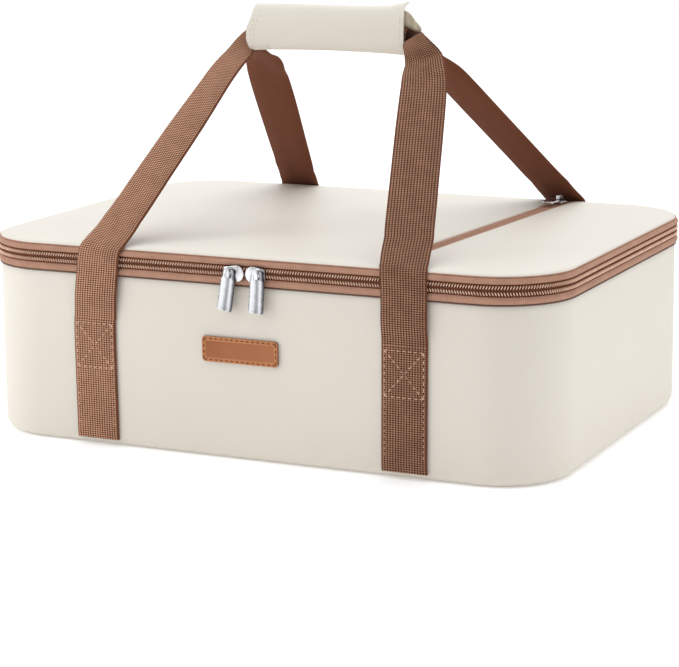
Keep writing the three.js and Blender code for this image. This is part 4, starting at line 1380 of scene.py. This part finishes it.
def leather_label():
    piece = plain_box("leather_label", *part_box("label_patch"))
    with editing(piece):
        bpy.ops.mesh.select_mode(type="EDGE")
        bpy.ops.mesh.select_all(action="DESELECT")
    for edge in piece.data.edges:
        ends = [piece.data.vertices[i].co for i in edge.vertices]
        edge.select = abs(ends[0].y - ends[1].y) > 0.5 * MM
    with editing(piece):
        bpy.ops.mesh.bevel(offset=LABEL_CORNER, segments=6)
        bpy.ops.mesh.select_mode(type="FACE")
        bpy.ops.mesh.select_all(action="DESELECT")
    for face in piece.data.polygons:
        face.select = face.normal.y < -0.9
    with editing(piece):
        bpy.ops.mesh.inset(thickness=LABEL_BORDER)
        bpy.ops.mesh.remove_doubles(threshold=0.5 * MM)
        bpy.ops.mesh.inset(thickness=FIELD_EDGE, depth=-FIELD_DEPTH)
    paint(piece, LEATHER, LEATHER_FIELD, LEATHER_EDGE)
    for face in piece.data.polygons:
        face.material_index = 1 if face.select else 2 * int(face.normal.y > -0.3)
    modify(piece, "BEVEL", width=0.3 * MM, segments=3, limit_method="ANGLE", angle_limit=math.radians(50))
    smooth(piece, 40)
    return piece


label = leather_label()
settle(label, "body", "tan_leather", None, "label_patch")
low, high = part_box("label_patch")
left, right = low.x + LABEL_SEAM, high.x - LABEL_SEAM
bottom, top = low.z + LABEL_SEAM, high.z - LABEL_SEAM
corners = [Vector((x, low.y, z)) for x, z in ((left, bottom), (right, bottom), (right, top), (left, top))]
label_runs = [[(corners[i], (0, -1, 0)), (corners[(i + 1) % 4], (0, -1, 0))] for i in range(4)]
label_seam = stitches("label_stitches", label_runs, length=2.5, gap=1.3, radius=0.42)
settle(label_seam, "body", "tan_leather", BROWN_THREAD)

# %% [markdown]
# ## Sliders
#
# The sliders and the pocket's pull keep the shape of their solids, with every hard edge rounded as plating
# leaves it.

# %% Sliders
SLIDERS = {"main_slider_left": "slider_left", "main_slider_right": "slider_right",
           "pocket_slider": "pocket_runner", "pocket_pull": "pocket_tab"}


def rounded_copy(name, node_name, width):
    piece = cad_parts[node_name].copy()
    piece.data = piece.data.copy()
    piece.name = name
    piece.data.name = name
    for key in list(piece.keys()):
        del piece[key]
    piece.parent = None
    bpy.context.scene.collection.objects.link(piece)
    with editing(piece):
        bpy.ops.mesh.select_all(action="SELECT")
        bpy.ops.mesh.remove_doubles(threshold=0.001 * MM)
        bpy.ops.mesh.normals_make_consistent(inside=False)
        bpy.ops.mesh.dissolve_limited(angle_limit=math.radians(1))
    modify(piece, "BEVEL", width=width, segments=2, limit_method="ANGLE", angle_limit=math.radians(35))
    smooth(piece, 40)
    return piece


for node_name, body in SLIDERS.items():
    settle(rounded_copy(f"{node_name}_metal", node_name, 0.25 * MM), body, "silver_metal", METAL, node_name)

# %% [markdown]
# ## Pulls
#
# A pull is a stamped plate with a dished face and a square window at its neck, where it hangs on the
# slider's crown. It is drawn flat as a grid of cells with the window left out, dished, given its thickness
# and its rounded edges, and then hung at its slant.

# %% Pulls
PULL_THICK = 1.4 * MM
PULL_DISH = 0.5 * MM
PULL_ROWS = [(-2.0, 3.4), (-1.4, 3.8), (0.2, 4.0), (2.0, 4.05), (3.4, 4.1), (4.2, 4.6), (5.0, 4.95),
             (8, 5.0), (12, 5.05), (16, 5.1), (20, 5.15), (23.5, 5.2), (25.2, 5.2), (26, 4.8)]
DISH_AT, DISH_SHARE = [4, 7, 24, 26], [0, 1, 1, 0.3]
PULL_COLUMNS = [-1, -0.8, -0.55, -0.28, 0, 0.28, 0.55, 0.8, 1]
WINDOW_ROWS, WINDOW_COLUMNS = range(2, 4), range(2, 6)
# Where the pin is, as x and z in mm, and the slant in degrees.
PULLS = {"left": (-8.7, 127.6, 9), "right": (12.0, 127.6, 3.7)}


def pull_metal():
    """Plated metal with painted reflections: bands of light and dark across the dished face, from edge to
    edge on the UV map.
    """
    material, tree, shader = finish("pull_metal", Metallic=0.85)
    place = node(tree, "ShaderNodeTexCoord").outputs["UV"]
    across = node(tree, "ShaderNodeSeparateXYZ", {0: place}).outputs["X"]
    noise = place_group(tree, TONE, {"Scale": 500}).outputs["Tone"]
    shifted = math_node(tree, "MULTIPLY_ADD", noise, 0.12, across)
    streaks_and_painted_reflections = tree.nodes.new("ShaderNodeValToRGB")
    # Painted reflections: dark at the plate's very edges, bright just inside them and dark near the middle
    # of the dish.
    stops = [(0.06, 104), (0.16, 228), (0.36, 216), (0.56, 140), (0.66, 158), (0.82, 218), (1.0, 104)]
    while len(streaks_and_painted_reflections.color_ramp.elements) < len(stops):
        streaks_and_painted_reflections.color_ramp.elements.new(0.5)
    for element, (position, tone) in zip(streaks_and_painted_reflections.color_ramp.elements, stops):
        element.position = position
        element.color = linear(tone, tone, tone + 2)
    tree.links.new(shifted, streaks_and_painted_reflections.inputs["Fac"])
    tree.links.new(streaks_and_painted_reflections.outputs["Color"], shader.inputs["Base Color"])
    uneven_gloss(tree, shader, noise, 0.2, 0.36)
    return material


PULL_METAL = pull_metal()


def pull(side):
    """The plate in its own plane first, with u across and w down from the pin, then hung on the slider."""
    x, z, slant = PULLS[side]
    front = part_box(f"main_pull_{side}")[0].y
    points, faces, corners = [], [], []
    for w, half in PULL_ROWS:
        for u in PULL_COLUMNS:
            dish = PULL_DISH * (1 - u * u) * float(np.interp(w, DISH_AT, DISH_SHARE))
            points.append(Vector((u * half * MM, front + dish, -w * MM)))
    wide = len(PULL_COLUMNS)
    for i in range(len(PULL_ROWS) - 1):
        for j in range(wide - 1):
            if i in WINDOW_ROWS and j in WINDOW_COLUMNS:
                continue
            faces.append((i * wide + j, (i + 1) * wide + j, (i + 1) * wide + j + 1, i * wide + j + 1))
            for column in (j, j, j + 1, j + 1):
                corners.append(((PULL_COLUMNS[column] + 1) / 2, 0.5))
    piece = mesh_piece(f"main_pull_{side}_plate", points, faces)
    lay_uv(piece, corners)
    modify(piece, "SOLIDIFY", thickness=PULL_THICK, offset=-1)
    modify(piece, "BEVEL", width=0.3 * MM, segments=2, limit_method="ANGLE", angle_limit=math.radians(50))
    face_outwards(piece)
    hung = Matrix.Rotation(math.radians(slant), 4, "Y")
    piece.data.transform(Matrix.Translation((x * MM, 0, z * MM)) @ hung)
    smooth(piece, 40)
    return piece


for side in PULLS:
    plate = pull(side)
    settle(plate, f"pull_{side}", "silver_metal", PULL_METAL, f"main_pull_{side}")
    print("plate y, mm:", [round(min(v.co.y for v in plate.data.vertices) / MM, 2),
                           round(max(v.co.y for v in plate.data.vertices) / MM, 2)])
